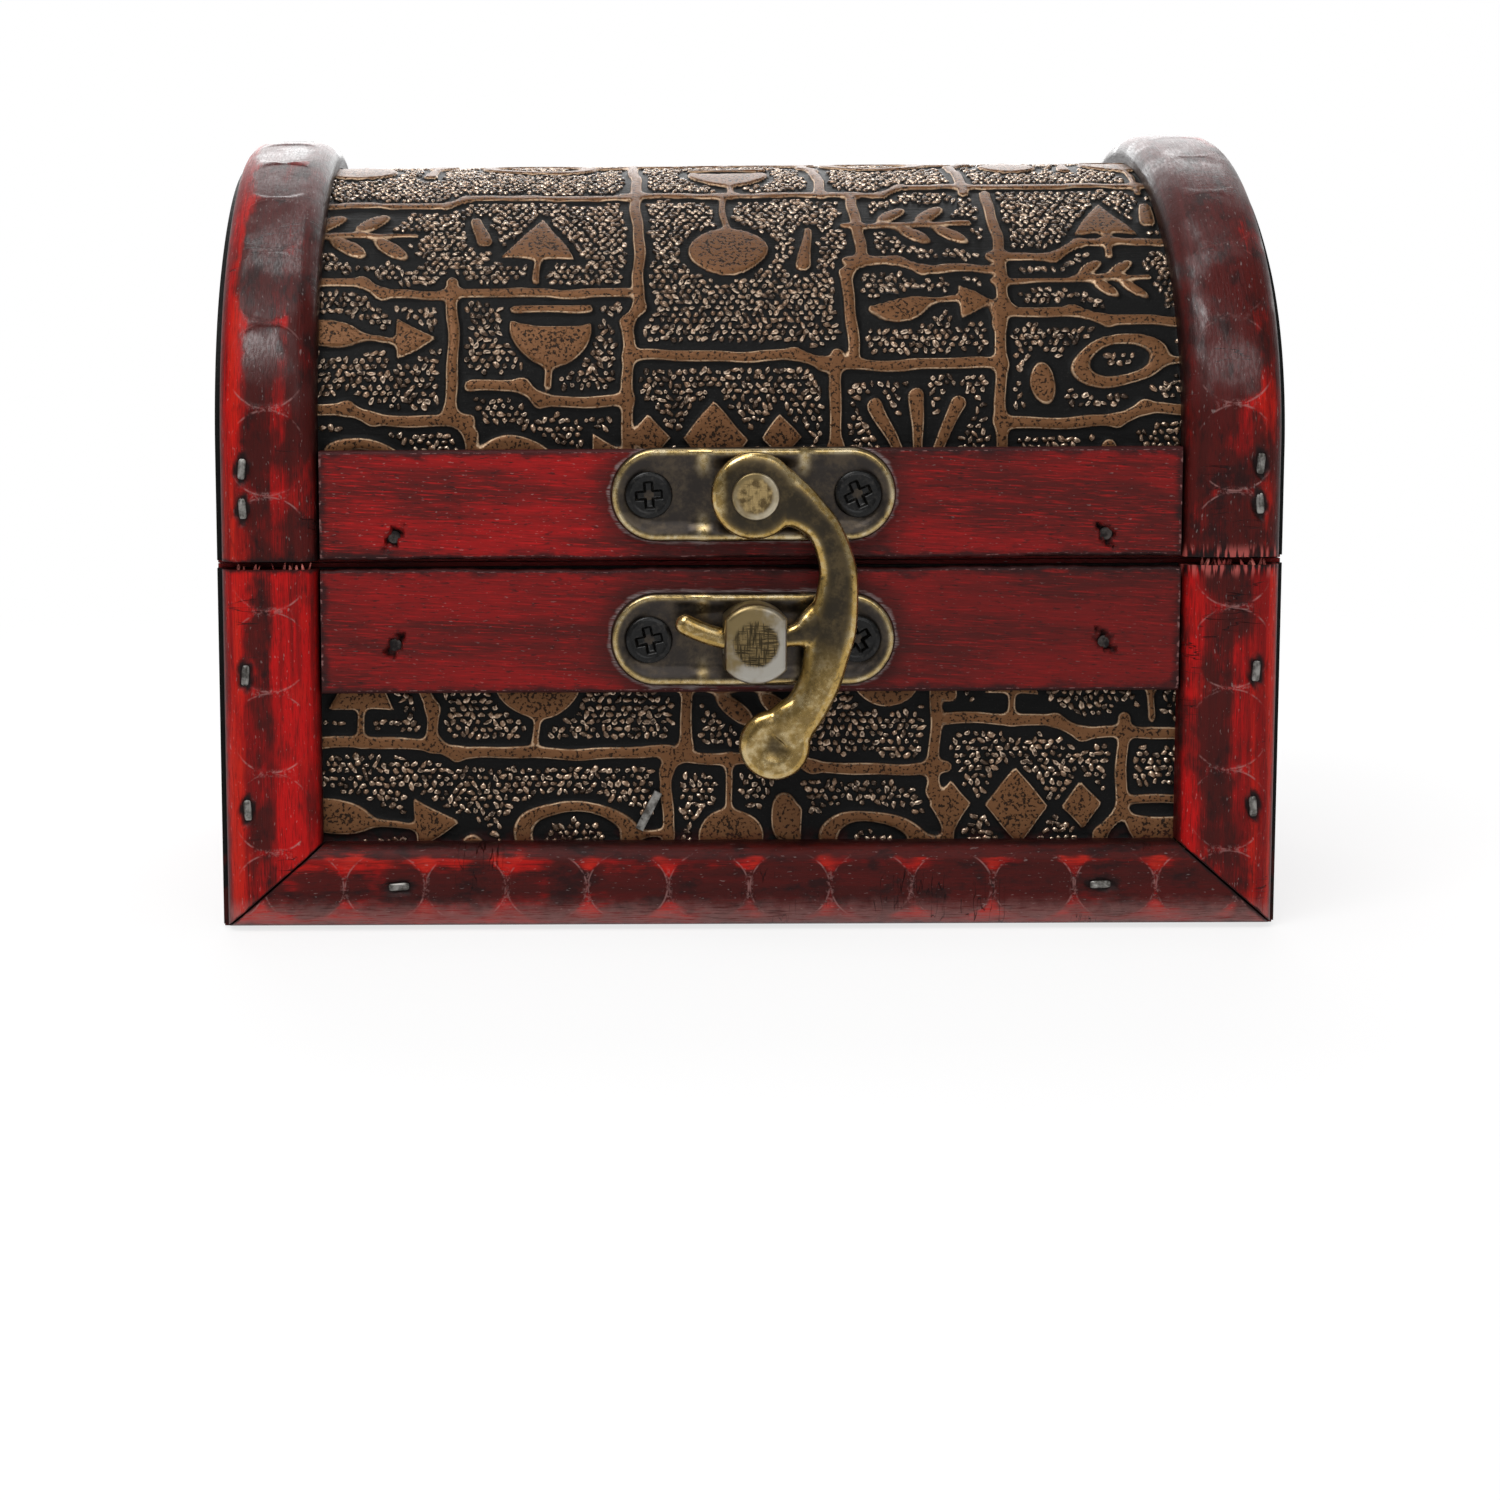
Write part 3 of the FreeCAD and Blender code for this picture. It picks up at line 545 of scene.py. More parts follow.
low, high = corners("base_front_moulding")
mouldingLow, mouldingHigh = low[2], high[2]
postTop = corners("base_front_left_post")[1][2]
mitreSlope = (mouldingLow - mouldingHigh) / (2 * strip["half"])
mitreShift = strip["mitreGap"] / 2 * math.hypot(1, mitreSlope)
middle = (mouldingLow + mouldingHigh) / 2
narrow = (mouldingHigh - mouldingLow) / 2 / strip["half"]
bradLow, bradHigh = corners("base_post_brads")
bradSide = bradHigh[0] - bradHalf["short"] - trimMiddle
footLow, footHigh = corners("base_moulding_brads")
serial = 5
for side, word in ((-1, "front"), (1, "back")):
    across, height = stripSection()
    for end, endWord in ((-1, "left"), (1, "right")):
        foot = middle + across * mitreSlope + mitreShift
        rows = np.linspace(0, 1, int(postTop / strip["step"]))[:, None]

        def upPost(along, across, height):
            return end * (trimMiddle + across), side * (arch["out"] + height), along

        name = "%s_%s_post" % (word, endWord)
        spots = [(bradLow[2] + bradHalf["long"], bradSide), (bradHigh[2] - bradHalf["long"], bradSide)]
        putStrip(name, "base", "base_" + name, foot + rows * (postTop - foot), upPost, serial, spots, (postTop,),
                 end, 0.0)
        serial += 1

    reach = trimMiddle - across + mitreShift / mitreSlope
    rows = np.linspace(-1, 1, int(2 * trimMiddle / strip["step"]))[:, None]

    def alongFoot(along, across, height):
        return along, side * (arch["out"] + height), middle + across * narrow

    spots = [(x, ((footLow[2] + footHigh[2]) / 2 - middle) / narrow)
             for x in (footLow[0] + bradHalf["long"], footHigh[0] - bradHalf["long"])]
    # the moulding's upper band is darkened, partly as wear and partly as painted shade along its top edge
    putStrip(word + "_moulding", "base", "base_%s_moulding" % word, rows * reach, alongFoot, serial, spots,
             (reach,), 0,
             strip["upperWearAndShade"] * smooth(across, 2.8, 3.6) + strip["lowerWear"] * smooth(-across, 0.4, 2.4)
             + strip["leftWear"] * smooth(-rows, 0.35, 0.6))
    serial += 1
print("strips done")


# Flat rails beside the split

rail = dict(round=0.35, step=0.3, nailRadius=0.62, nailDepth=0.8, saw=0.26, stain=dict(lid=0.0, base=0.3),
            paintedShadeRight=0.25, barrelRadius=1.4, barrelRoom=0.3)
latchLow, latchHigh = corners("hook_plate")
latchX = middleOf("hook_plate")[0]
plateHalf = (latchHigh[0] - latchLow[0]) / 2
plateRadius = (latchHigh[2] - latchLow[2]) / 2


def pillDistance(x, z, middleZ):
    # distance outside the latch plates' long round outline
    past = np.clip(np.abs(x - latchX) - (plateHalf - plateRadius), 0, None)
    return np.hypot(past, z - middleZ) - plateRadius


def putRail(name, body, side, node, nails, plateNode, splitUp, barrels):
    # a rectangle with two rounded front edges carried along X, its edge at the split sawn a little uneven;
    # sunk nail holes and hinge rooms are pressed in
    low, high = corners(node)
    thick = high[1] - low[1]
    r = rail["round"]
    bend = np.linspace(0, math.pi / 2, 6)[1:-1]
    flat = np.linspace(low[2] + r, high[2] - r, int((high[2] - low[2]) / rail["step"]))
    z = np.concatenate([[low[2], low[2]], low[2] + r - r * np.cos(bend), flat,
                        high[2] - r + r * np.sin(bend), [high[2], high[2]]])
    out = np.concatenate([[0, thick - r], thick - r + r * np.sin(bend), np.full(len(flat), thick),
                          thick - r + r * np.cos(bend), [thick - r, 0]])
    x = np.linspace(low[0], high[0], int((high[0] - low[0]) / rail["step"]))[:, None]
    x, z, out = np.broadcast_arrays(x, z, out)
    up = 1 if body == "lid" else -1
    wave = (np.sin(0.21 * x + up) + 0.7 * np.sin(0.63 * x + 2 * up) + 0.5 * np.sin(2.1 * x)
            + 0.3 * np.sin(5.3 * x + up))
    sawn = rail["saw"] * np.clip(0.5 + wave / 4, 0, 1) * (1 - smooth(np.abs(z - splitUp), 0.4, 2.2))
    z = z + up * sawn
    nailX = corners(nails)[1][0] - rail["nailRadius"]
    nailZ = middleOf(nails)[2]
    ragged = 0.22 * np.sin(2.9 * x + 5 * z) + 0.14 * np.sin(7 * x - 3 * z)
    slant = (np.abs(x) - nailX) + 0.45 * (z - nailZ)
    nailGap = np.hypot(slant * 1.1, (z - nailZ) * 0.72) + ragged
    hole = 1 - smooth(nailGap, rail["nailRadius"] * 0.75, rail["nailRadius"] * 1.6)
    face = smooth(out, thick - 0.05, thick)
    out = out - rail["nailDepth"] * hole * face
    if barrels:
        # rooms for the hinge barrels, round about their axis
        axis, radius, spans = barrels
        drop = radius ** 2 - (z - splitUp) ** 2
        room = axis - np.sqrt(np.clip(drop, 0, None)) - arch["out"]
        inSpan = np.any([(x > a) & (x < b) for a, b in spans], axis=0)
        out = np.where(inSpan & (drop > 0), np.minimum(out, room), out)
    rings = np.stack([x, side * (arch["out"] + out), z], -1)
    points, faceSets = tubeMesh(rings)
    splitGap = np.abs(z - splitUp)
    edge = np.minimum(np.minimum(splitGap * 0.6, np.minimum(z - low[2], high[2] - z)),
                      np.minimum(x - low[0], high[0] - x)) * face - (1 - face)
    plate = np.full(x.shape, 9.0)
    if plateNode:
        plate = pillDistance(x, z, middleOf(plateNode)[2])
    # stain: darker on the base rails, with painted shade growing towards the right
    values = dict(strip=np.stack([x + splitUp * (7 if body == "lid" else 3), z, side * out], -1), edge=edge,
                  hole=hole * face, plate=plate,
                  stain=rail["stain"][body] + rail["paintedShadeRight"] * smooth(x, -5, 25))
    values = {key: tubeValues(value) for key, value in values.items()}
    putPiece(name, body, "red_wood", railWood, points, faceSets, [node], values, 50)


splinters = dict(count=34, tall=(0.35, 0.7), wide=(0.08, 0.26), lean=0.4, deep=1.1, seed=4)


def putSplinters():
    # torn wood left standing on the post tops: three square rings that narrow towards a leaning tip
    rng = np.random.default_rng(splinters["seed"])
    count = splinters["count"]
    low, high = corners("base_front_right_post")
    side = np.where(rng.random(count) < 0.75, 1, -1)
    x = side * rng.uniform(low[0] + 0.6, high[0] - 1.4, count)
    y = low[1] + 0.5 + rng.uniform(0, splinters["deep"], count)
    tall = rng.uniform(*splinters["tall"], count)
    wide = rng.uniform(*splinters["wide"], count)
    lean = rng.uniform(-1, 1, (count, 2)) * splinters["lean"]
    share = np.array([0.0, 0.6, 1.0])[None, :, None]
    narrow = np.array([1.0, 0.7, 0.25])[None, :, None]
    ring = np.arange(4) * math.pi / 2 + math.pi / 4
    half = wide[:, None, None] * narrow
    px = x[:, None, None] + lean[:, :1, None] * share * tall[:, None, None] + half * np.cos(ring)
    py = y[:, None, None] + lean[:, 1:, None] * share * tall[:, None, None] * 0.4 + half * 0.6 * np.sin(ring)
    pz = high[2] - 0.05 + (tall[:, None, None] + 0.05) * share + 0 * ring
    points = np.stack([px, py, pz], -1).reshape(-1, 3)
    shift = (np.arange(count) * 12)[:, None, None]
    walls = gridFaces(3, 4, True)
    ends = np.array([[3, 2, 1, 0], [8, 9, 10, 11]])
    faces = np.concatenate([walls[:, ::-1], ends[:, ::-1]])
    putPiece("split_splinters", "base", "red_wood", tornWood, points, [(faces + shift).reshape(-1, 4)])


putSplinters()
splitMiddle = (corners("base_front_rail")[1][2] + corners("lid_front_rail")[0][2]) / 2
pinLow, pinHigh = corners("right_hinge_pin")
pinRoom = rail["barrelRoom"]
barrelRooms = (middleOf("right_hinge_pin")[1], rail["barrelRadius"],
               [(pinLow[0] - pinRoom, pinHigh[0] + pinRoom), (-pinHigh[0] - pinRoom, -pinLow[0] + pinRoom)])
for body in ("base", "lid"):
    plateNode = "catch_plate" if body == "base" else "hook_plate"
    putRail("%s_rail_front" % body, body, -1, "%s_front_rail" % body, "%s_rail_nails" % body, plateNode,
            splitMiddle, None)
    putRail("%s_rail_back" % body, body, 1, "%s_back_rail" % body, "%s_rail_nails" % body, None, splitMiddle,
            barrelRooms)
print("rails done")


# Embossed leather: raised bands and plain motifs on a pebbled ground

leather = dict(seed=23, band=1.1, stem=0.62, wander=0.14, joint=0.8, channel=0.82, ground=0.36, edge=0.24,
               step=0.31, under=0.5, pebble=0.8, pebbleLong=(0.30, 0.58), pebbleShort=(0.24, 0.35),
               pebbleRise=0.31, pebbleSides=8, lump=0.3, stray=0.14)


def capsule(x, s, a, b, startHalf, endHalf):
    # distance to a straight bar whose half width runs from one value to the other
    along = np.array(b) - np.array(a)
    t = np.clip(((x - a[0]) * along[0] + (s - a[1]) * along[1]) / (along @ along), 0, 1)
    return np.hypot(x - a[0] - t * along[0], s - a[1] - t * along[1]) - (startHalf + (endHalf - startHalf) * t)


def blob(x, s, middle, half, turn):
    # distance to an ellipse, near enough
    c, d = math.cos(turn), math.sin(turn)
    u = ((x - middle[0]) * c + (s - middle[1]) * d) / half[0]
    v = ((s - middle[1]) * c - (x - middle[0]) * d) / half[1]
    return (np.hypot(u, v) - 1) * min(half)


def wedge(x, s, corner):
    # distance to a convex outline: the farthest of its sides
    corner = np.array(corner)
    ahead = np.roll(corner, -1, axis=0) - corner
    area = np.sum(corner[:, 0] * np.roll(corner[:, 1], -1) - corner[:, 1] * np.roll(corner[:, 0], -1))
    gaps = [((x - c[0]) * e[1] - (s - c[1]) * e[0]) / math.hypot(*e) * np.sign(area)
            for c, e in zip(corner, ahead)]
    return np.max(gaps, axis=0) - 0.25


def join(a, b, reach):
    # smooth smaller of two distances, with a fillet where they meet
    h = np.clip(0.5 + 0.5 * (b - a) / reach, 0, 1)
    return b + (a - b) * h - reach * h * (1 - h)


def splitCells(cell, rng, borders, cells):
    # halve a rectangle across its longer side until it is small, and keep the borders
    x0, x1, s0, s1 = cell
    wide, tall = x1 - x0, s1 - s0
    if wide < rng.uniform(26, 46) and tall < rng.uniform(17, 30):
        cells.append(cell)
        return
    share = rng.uniform(0.34, 0.66)
    if wide / 1.3 > tall:
        cut = x0 + share * wide
        borders.append(((cut, s0), (cut, s1)))
        splitCells((x0, cut, s0, s1), rng, borders, cells)
        splitCells((cut, x1, s0, s1), rng, borders, cells)
    else:
        cut = s0 + share * tall
        borders.append(((x0, cut), (x1, cut)))
        splitCells((x0, x1, s0, cut), rng, borders, cells)
        splitCells((x0, x1, cut, s1), rng, borders, cells)


def jogged(a, b, rng):
    # a border with one slanting step to the side on its way
    a, b = np.array(a), np.array(b)
    aside = np.array([b[1] - a[1], a[0] - b[0]])
    aside = aside / np.linalg.norm(aside) * rng.choice([-1.0, 1.0]) * rng.uniform(0.8, 2.2)
    first = a + (b - a) * rng.uniform(0.25, 0.5)
    second = first + (b - a) / np.linalg.norm(b - a) * rng.uniform(1.5, 3.0) + aside
    half = leather["band"] / 2
    ends = [a, first, second, b + aside]
    return [("bar", p, q, half, half) for p, q in zip(ends[:-1], ends[1:])]


def motifParts(cell, kind, rng):
    # one plain motif for a cell, as bars, blobs, wedges, rings and moons about the cell's middle
    x0, x1, s0, s1 = cell
    wide, tall = x1 - x0, s1 - s0
    cx, cs = x0 + wide * rng.uniform(0.44, 0.56), s0 + tall * rng.uniform(0.44, 0.56)
    r = np.clip(min(wide, tall) * rng.uniform(0.2, 0.25), 2.0, 3.6)
    flip = float(rng.choice([-1, 1]))
    end = s1 if flip > 0 else s0
    stem, bar = leather["stem"] / 2, leather["band"] / 2
    lean = rng.uniform(-0.3, 0.3)
    if kind == 0:  # disc hanging on a stem, a drop beside it
        return [("blob", (cx, cs), (r * 1.1, r), lean), ("bar", (cx, cs), (cx, end), stem, stem),
                ("bar", (cx + r * 2.1, cs - r * 0.7), (cx + r * 2.3, cs + r * 0.9), bar * 1.3, stem)]
    if kind == 1:  # long ring with a stem on one side, a drop on the other
        return [("ring", (cx, cs), (r * 1.5, r * 0.85), lean, 1.0),
                ("bar", (cx + r * 1.4, cs), (x1, cs + lean), stem, stem),
                ("blob", (cx - r * 2.9, cs + flip * r * 0.8), (r * 0.45, r * 0.8), lean)]
    if kind == 2:  # fir shape on a stem, a short bar beside it
        return [("wedge", [(cx - r, cs - r * 0.9), (cx + r, cs - r * 0.9), (cx + lean * r, cs + r * 0.9)]),
                ("bar", (cx, cs - r), (cx, s0), stem, stem),
                ("bar", (cx + flip * r * 1.9, cs + r), (cx + flip * r * 1.7, cs - r * 0.2), bar, bar * 1.4)]
    if kind == 3:  # bowl on a stem under a bar
        return [("moon", (cx, cs), r * 1.35, (cx + lean, cs + r * 5.1), r * 5),
                ("bar", (cx - r * 1.2, cs + r * 0.75), (cx + r * 1.3, cs + r * 0.85), bar * 0.7, bar * 0.8),
                ("bar", (cx, cs - r), (cx - lean, s0), stem, stem)]
    if kind == 4:  # long sprig with four leaves
        tip, root = (cx + r * 2.0, cs + lean), (x0, cs - lean)
        leaves = [("blob", (cx + r * k, cs + side * r * 0.72), (r * 0.72, r * 0.3), side * 0.7)
                  for k, side in ((-0.9, 1), (-0.2, -1), (0.6, 1), (1.2, -1))]
        return [("bar", root, tip, stem, stem)] + leaves
    if kind == 5:  # three diamonds in a row
        return [("wedge", [(cx + r * k - r * size, cs), (cx + r * k, cs - r * size * 1.2),
                           (cx + r * k + r * size, cs), (cx + r * k, cs + r * size * 1.2)])
                for k, size in ((-1.8, 0.45), (0, 0.8), (1.8, 0.45))]
    if kind == 6:  # fan of three blades
        blades = [("bar", (cx + r * 0.25 * k, cs - r), (cx + r * 1.15 * k, cs + r * (1.15 - 0.3 * abs(k))),
                   stem, bar * 1.35) for k in (-1, 0, 1)]
        return blades + [("bar", (cx, cs - r), (cx, s0), stem, stem)]
    # bar through a long drop, with a point at its end
    return [("bar", (cx - r * 2.2, cs + lean * r), (cx + r * 1.6, cs - lean * r), stem, stem),
            ("blob", (cx - r * 1.1, cs + lean * r), (r * 1.0, r * 0.5), -lean),
            ("wedge", [(cx + r * 1.2, cs - r * 0.6), (cx + r * 2.2, cs), (cx + r * 1.2, cs + r * 0.6)])]


def drawPlan(region, seed):
    # borders and motifs for one sheet, in along X and up the sheet
    rng = np.random.default_rng(seed)
    borders, cells = [], []
    splitCells(region, rng, borders, cells)
    parts = [part for a, b in borders for part in jogged(a, b, rng)]
    rooms = []
    for x0, x1, s0, s1 in cells:
        # wide cells hold two motifs side by side
        count = 2 if x1 - x0 > 24 else 1
        cut = np.linspace(x0, x1, count + 1)
        rooms += [(a, b, s0, s1) for a, b in zip(cut[:-1], cut[1:])]
    kinds = rng.permutation(np.arange(len(rooms)) % 8)
    for room, kind in zip(rooms, kinds):
        parts += motifParts(room, int(kind), rng)
    return parts


def patternField(x, s, plan):
    # distance in millimetres to the nearest raised edge, below nothing on raised parts; the lines wander a little
    wave = leather["wander"]
    px = x + wave * (np.sin(0.47 * s + 0.9) + 0.5 * np.sin(1.1 * s - 0.6 * x))
    ps = s + wave * (np.sin(0.41 * x + 2.1) + 0.5 * np.sin(0.97 * x + 0.7 * s))
    field = np.full(np.shape(x), 30.0)
    for part in plan:
        kind = part[0]
        if kind == "bar":
            near = capsule(px, ps, *part[1:])
        elif kind == "blob":
            near = blob(px, ps, *part[1:])
        elif kind == "ring":
            near = np.abs(blob(px, ps, *part[1:4])) - part[4] / 2
        elif kind == "moon":
            near = np.maximum(np.hypot(px - part[1][0], ps - part[1][1]) - part[2],
                              part[4] - np.hypot(px - part[3][0], ps - part[3][1]))
        else:
            near = wedge(px, ps, part[1])
        field = join(near, field, leather["joint"])
    return field


def redSpray(place):
    # red stain that strayed onto the leather just above the foot moulding
    patch = noise(place, 0.3, 3.0, 0.6)
    low = fall(pick(place, 2) + (patch - 0.5) * 7, mouldingHigh - 0.6, mouldingHigh + 1.6)
    return low * ease(patch, 0.42, 0.56)


def leatherFinish():
    # bronze rubbed on the raised parts, lightest on their edges where a light line is partly rubbed wear and
    # partly painted highlight, with black pits, over a black ground
    material, start = newFinish("embossed_leather")
    place = objectPlace(start)
    field = attribute(start, "field")
    fine = noise(place, 2.6, 4.0, 0.65)
    broad = noise(place, 0.12, 2.0)
    raised = fall(field + (fine - 0.5) * 0.12, -0.03, 0.08)
    pits = ease(noise(place, 3.2, 2.0, 0.6) + ease(field * -1, 0.5, 1.4) * 0.05, 0.56, 0.62)
    rubbed = 0.25 + 0.75 * ease(noise(place, 0.3, 2.0), 0.4, 0.6)
    # light line along the raised edges: partly rubbed wear, partly a painted highlight
    line = fall(abs(field + 0.03), 0.02, 0.1) * ease(fine, 0.34, 0.5) * rubbed
    bronze = mix(broad, colour(0.095, 0.043, 0.019), colour(0.16, 0.073, 0.031))
    bronze = mix(pits * 0.92, bronze, colour(0.010, 0.007, 0.005))
    bronze = mix(line * 0.85, bronze, colour(0.56, 0.39, 0.25))
    dust = ease(noise(place, 5.0, 2.0), 0.62, 0.72)
    ground = mix(dust * 0.5, colour(0.003, 0.003, 0.003), colour(0.018, 0.017, 0.015))
    spray = redSpray(place)
    ground = mix(spray * 0.6, ground, colour(0.05, 0.004, 0.003))
    bronze = mix(spray * 0.6, bronze, colour(0.09, 0.012, 0.008))
    wrinkle = drawnNoise(place, 0.5, 3.0, 3.0, 0.6)
    height = raised * 0.07 - raised * pits * 0.05 + wrinkle * 0.06 + fine * 0.03
    close(start, {"Base Color": mix(raised, ground, bronze), "Metallic": raised * 0.3, "Specular IOR Level": 0.09,
                  "Roughness": 0.52 - raised * 0.12 + (fine - 0.5) * 0.2, "Normal": bump(height)})
    return material


def pebbleFinish():
    # bronze tops of many tones over black feet, with a light ring just below each top that is partly rubbed wear
    # and partly a painted glint
    material, start = newFinish("bronze_pebbles")
    place = objectPlace(start)
    rise, tone = attribute(start, "rise"), attribute(start, "tone")
    fine = noise(place, 4.0, 3.0, 0.6)
    top = ease(rise + (fine - 0.5) * 0.4, 0.2, 0.65)
    bronze = mix(tone ** 1.6, colour(0.032, 0.019, 0.011), colour(0.23, 0.142, 0.088))
    # the light ring below each top is partly rubbed wear and partly a painted glint
    rubbed = ease(rise, 0.5, 0.72) * fall(rise, 0.84, 0.97) * ease(noise(place, 1.5, 2.0), 0.46, 0.6)
    bronze = mix(rubbed * 0.9, bronze, colour(0.78, 0.60, 0.45))
    bronze = mix(redSpray(place) * 0.6, bronze, colour(0.09, 0.012, 0.008))
    close(start, {"Base Color": mix(top, colour(0.004, 0.004, 0.004), bronze), "Metallic": top * 0.6,
                  "Roughness": 0.17 + (fine - 0.5) * 0.16, "Specular IOR Level": 0.5, "Normal": bump(fine * 0.03)})
    return material


embossed = leatherFinish()
pebbled = pebbleFinish()


def fineLine(low, high, shownLow, shownHigh):
    # close steps where the sheet shows and wide ones where it is covered, with the two edges twice
    fineLow, fineHigh = shownLow - leather["under"], shownHigh + leather["under"]
    fine = np.linspace(fineLow, fineHigh, int((fineHigh - fineLow) / leather["step"]))
    before = np.linspace(low, fineLow, 4)[:-1]
    after = np.linspace(fineHigh, high, 4)[1:]
    return np.concatenate([[low], before, fine, after, [high]])


def putLeather(name, body, node, xLine, sLine, plan, place, shown):
    # the sheet's outer face as a height over its flat plan, full height under the wood that lies on it, with its
    # four edges turned down to the back
    x, s = np.meshgrid(xLine, sLine)
    field = patternField(x, s, plan)
    raised = 1 - smooth(field, -leather["edge"] / 2, leather["edge"] / 2)
    x0, x1, s0, s1 = shown
    covered = smooth(np.max([x0 - x, x - x1, s0 - s, s - s1], axis=0), 0.05, 0.45)
    out = -leather["ground"] * (1 - raised) * (1 - covered) - 0.02
    out[[0, -1], :] = -leather["thick"]
    out[:, [0, -1]] = -leather["thick"]
    points = np.stack(np.broadcast_arrays(*place(x, s, out)), -1).reshape(-1, 3)
    putPiece(name, body, "embossed_leather", embossed, points, [gridFaces(*x.shape)], [node],
             {"field": field.ravel()}, 60)


def putPebbles(name, body, region, plan, place, seed):
    # small oblong domes in jittered rows over the ground, clear of the channels beside raised parts
    rng = np.random.default_rng(seed)
    step = leather["pebble"]
    x0, x1, s0, s1 = region
    rows = np.arange(s0, s1, step * 0.88)
    cols = np.arange(x0, x1, step)
    x, s = np.meshgrid(cols, rows)
    x = x + (np.arange(len(rows)) % 2)[:, None] * step / 2
    stray = leather["stray"]
    x = (x + rng.uniform(-stray, stray, x.shape)).ravel()
    s = (s + rng.uniform(-stray, stray, s.shape)).ravel()
    keep = patternField(x, s, plan) > leather["channel"]
    x, s = x[keep], s[keep]
    count = len(x)
    turn = rng.uniform(0, math.pi, count)[:, None]
    long = rng.uniform(*leather["pebbleLong"], count)[:, None]
    short = rng.uniform(*leather["pebbleShort"], count)[:, None]
    rise = leather["pebbleRise"] * rng.uniform(0.75, 1.0, count)[:, None]
    sides = leather["pebbleSides"]
    angle = np.arange(sides) / sides * 2 * math.pi
    share = np.concatenate([np.ones(sides), np.full(sides, 0.66), [0]])
    angles = np.concatenate([angle, angle, [0]])
    level = np.concatenate([np.zeros(sides), np.full(sides, 0.86), [1.0]])
    lump = np.tile(rng.uniform(1 - leather["lump"], 1 + leather["lump"], (count, sides)), 2)
    share = share * np.concatenate([lump, np.ones((count, 1))], axis=1)
    u, v = long * share * np.cos(angles), short * share * np.sin(angles)
    px = x[:, None] + u * np.cos(turn) - v * np.sin(turn)
    ps = s[:, None] + u * np.sin(turn) + v * np.cos(turn)
    out = -leather["ground"] - 0.04 + (rise + 0.04) * level
    points = np.stack(np.broadcast_arrays(*place(px, ps, out)), -1).reshape(-1, 3)
    ring = np.arange(sides)
    after = np.roll(ring, -1)
    walls = np.stack([ring, after, after + sides, ring + sides], -1)
    tops = fanFaces(ring + sides, 2 * sides)
    shift = (np.arange(count) * (2 * sides + 1))[:, None, None]
    values = {"rise": np.tile(level, count), "tone": np.repeat(rng.random(count), 2 * sides + 1)}
    putPiece(name, body, "embossed_leather", pebbled, points,
             [(walls + shift).reshape(-1, 4), (tops + shift).reshape(-1, 3)], (), values, 180)
    print(name, count, "pebbles")


leather["thick"] = sheetHigh[1] - corners("base_back_board")[1][1]
halfLong = sheetHigh[0]
trimInner = trimMiddle - strip["half"]
railTop = corners("lid_front_rail")[1][2] - arch["foot"]
sheetX = fineLine(-halfLong, halfLong, -trimInner, trimInner)
lidS = fineLine(0, arch["length"], railTop, arch["length"] - railTop)


def overArch(x, s, out):
    return (x, *onArch(s, out))


lidPlan = drawPlan((-48.0, 48.0, 3.0, arch["length"] - 3.0), leather["seed"])
lidShown = (-trimInner, trimInner, railTop, arch["length"] - railTop)
putLeather("lid_cover", "lid", "lid_leather", sheetX, lidS, lidPlan, overArch, lidShown)
putPebbles("lid_pebbles", "lid", lidShown, lidPlan, overArch, 3)

baseLow, baseHigh = corners("base_front_leather")
railFoot = corners("base_front_rail")[0][2]
baseZ = fineLine(baseLow[2], baseHigh[2], mouldingHigh, railFoot)
baseShown = (-trimInner, trimInner, mouldingHigh, railFoot)
for side, word in ((-1, "front"), (1, "back")):
    def onSide(x, s, out):
        return side * -x, side * (arch["out"] + out), s

    basePlan = drawPlan((-47.0, 47.0, 1.0, 32.0), leather["seed"] + 4 + side)
    putLeather(word + "_cover", "base", "base_%s_leather" % word, sheetX, baseZ, basePlan, onSide, baseShown)
    putPebbles(word + "_pebbles", "base", baseShown, basePlan, onSide, 8 + side)
print("leather done")


# Brass latch

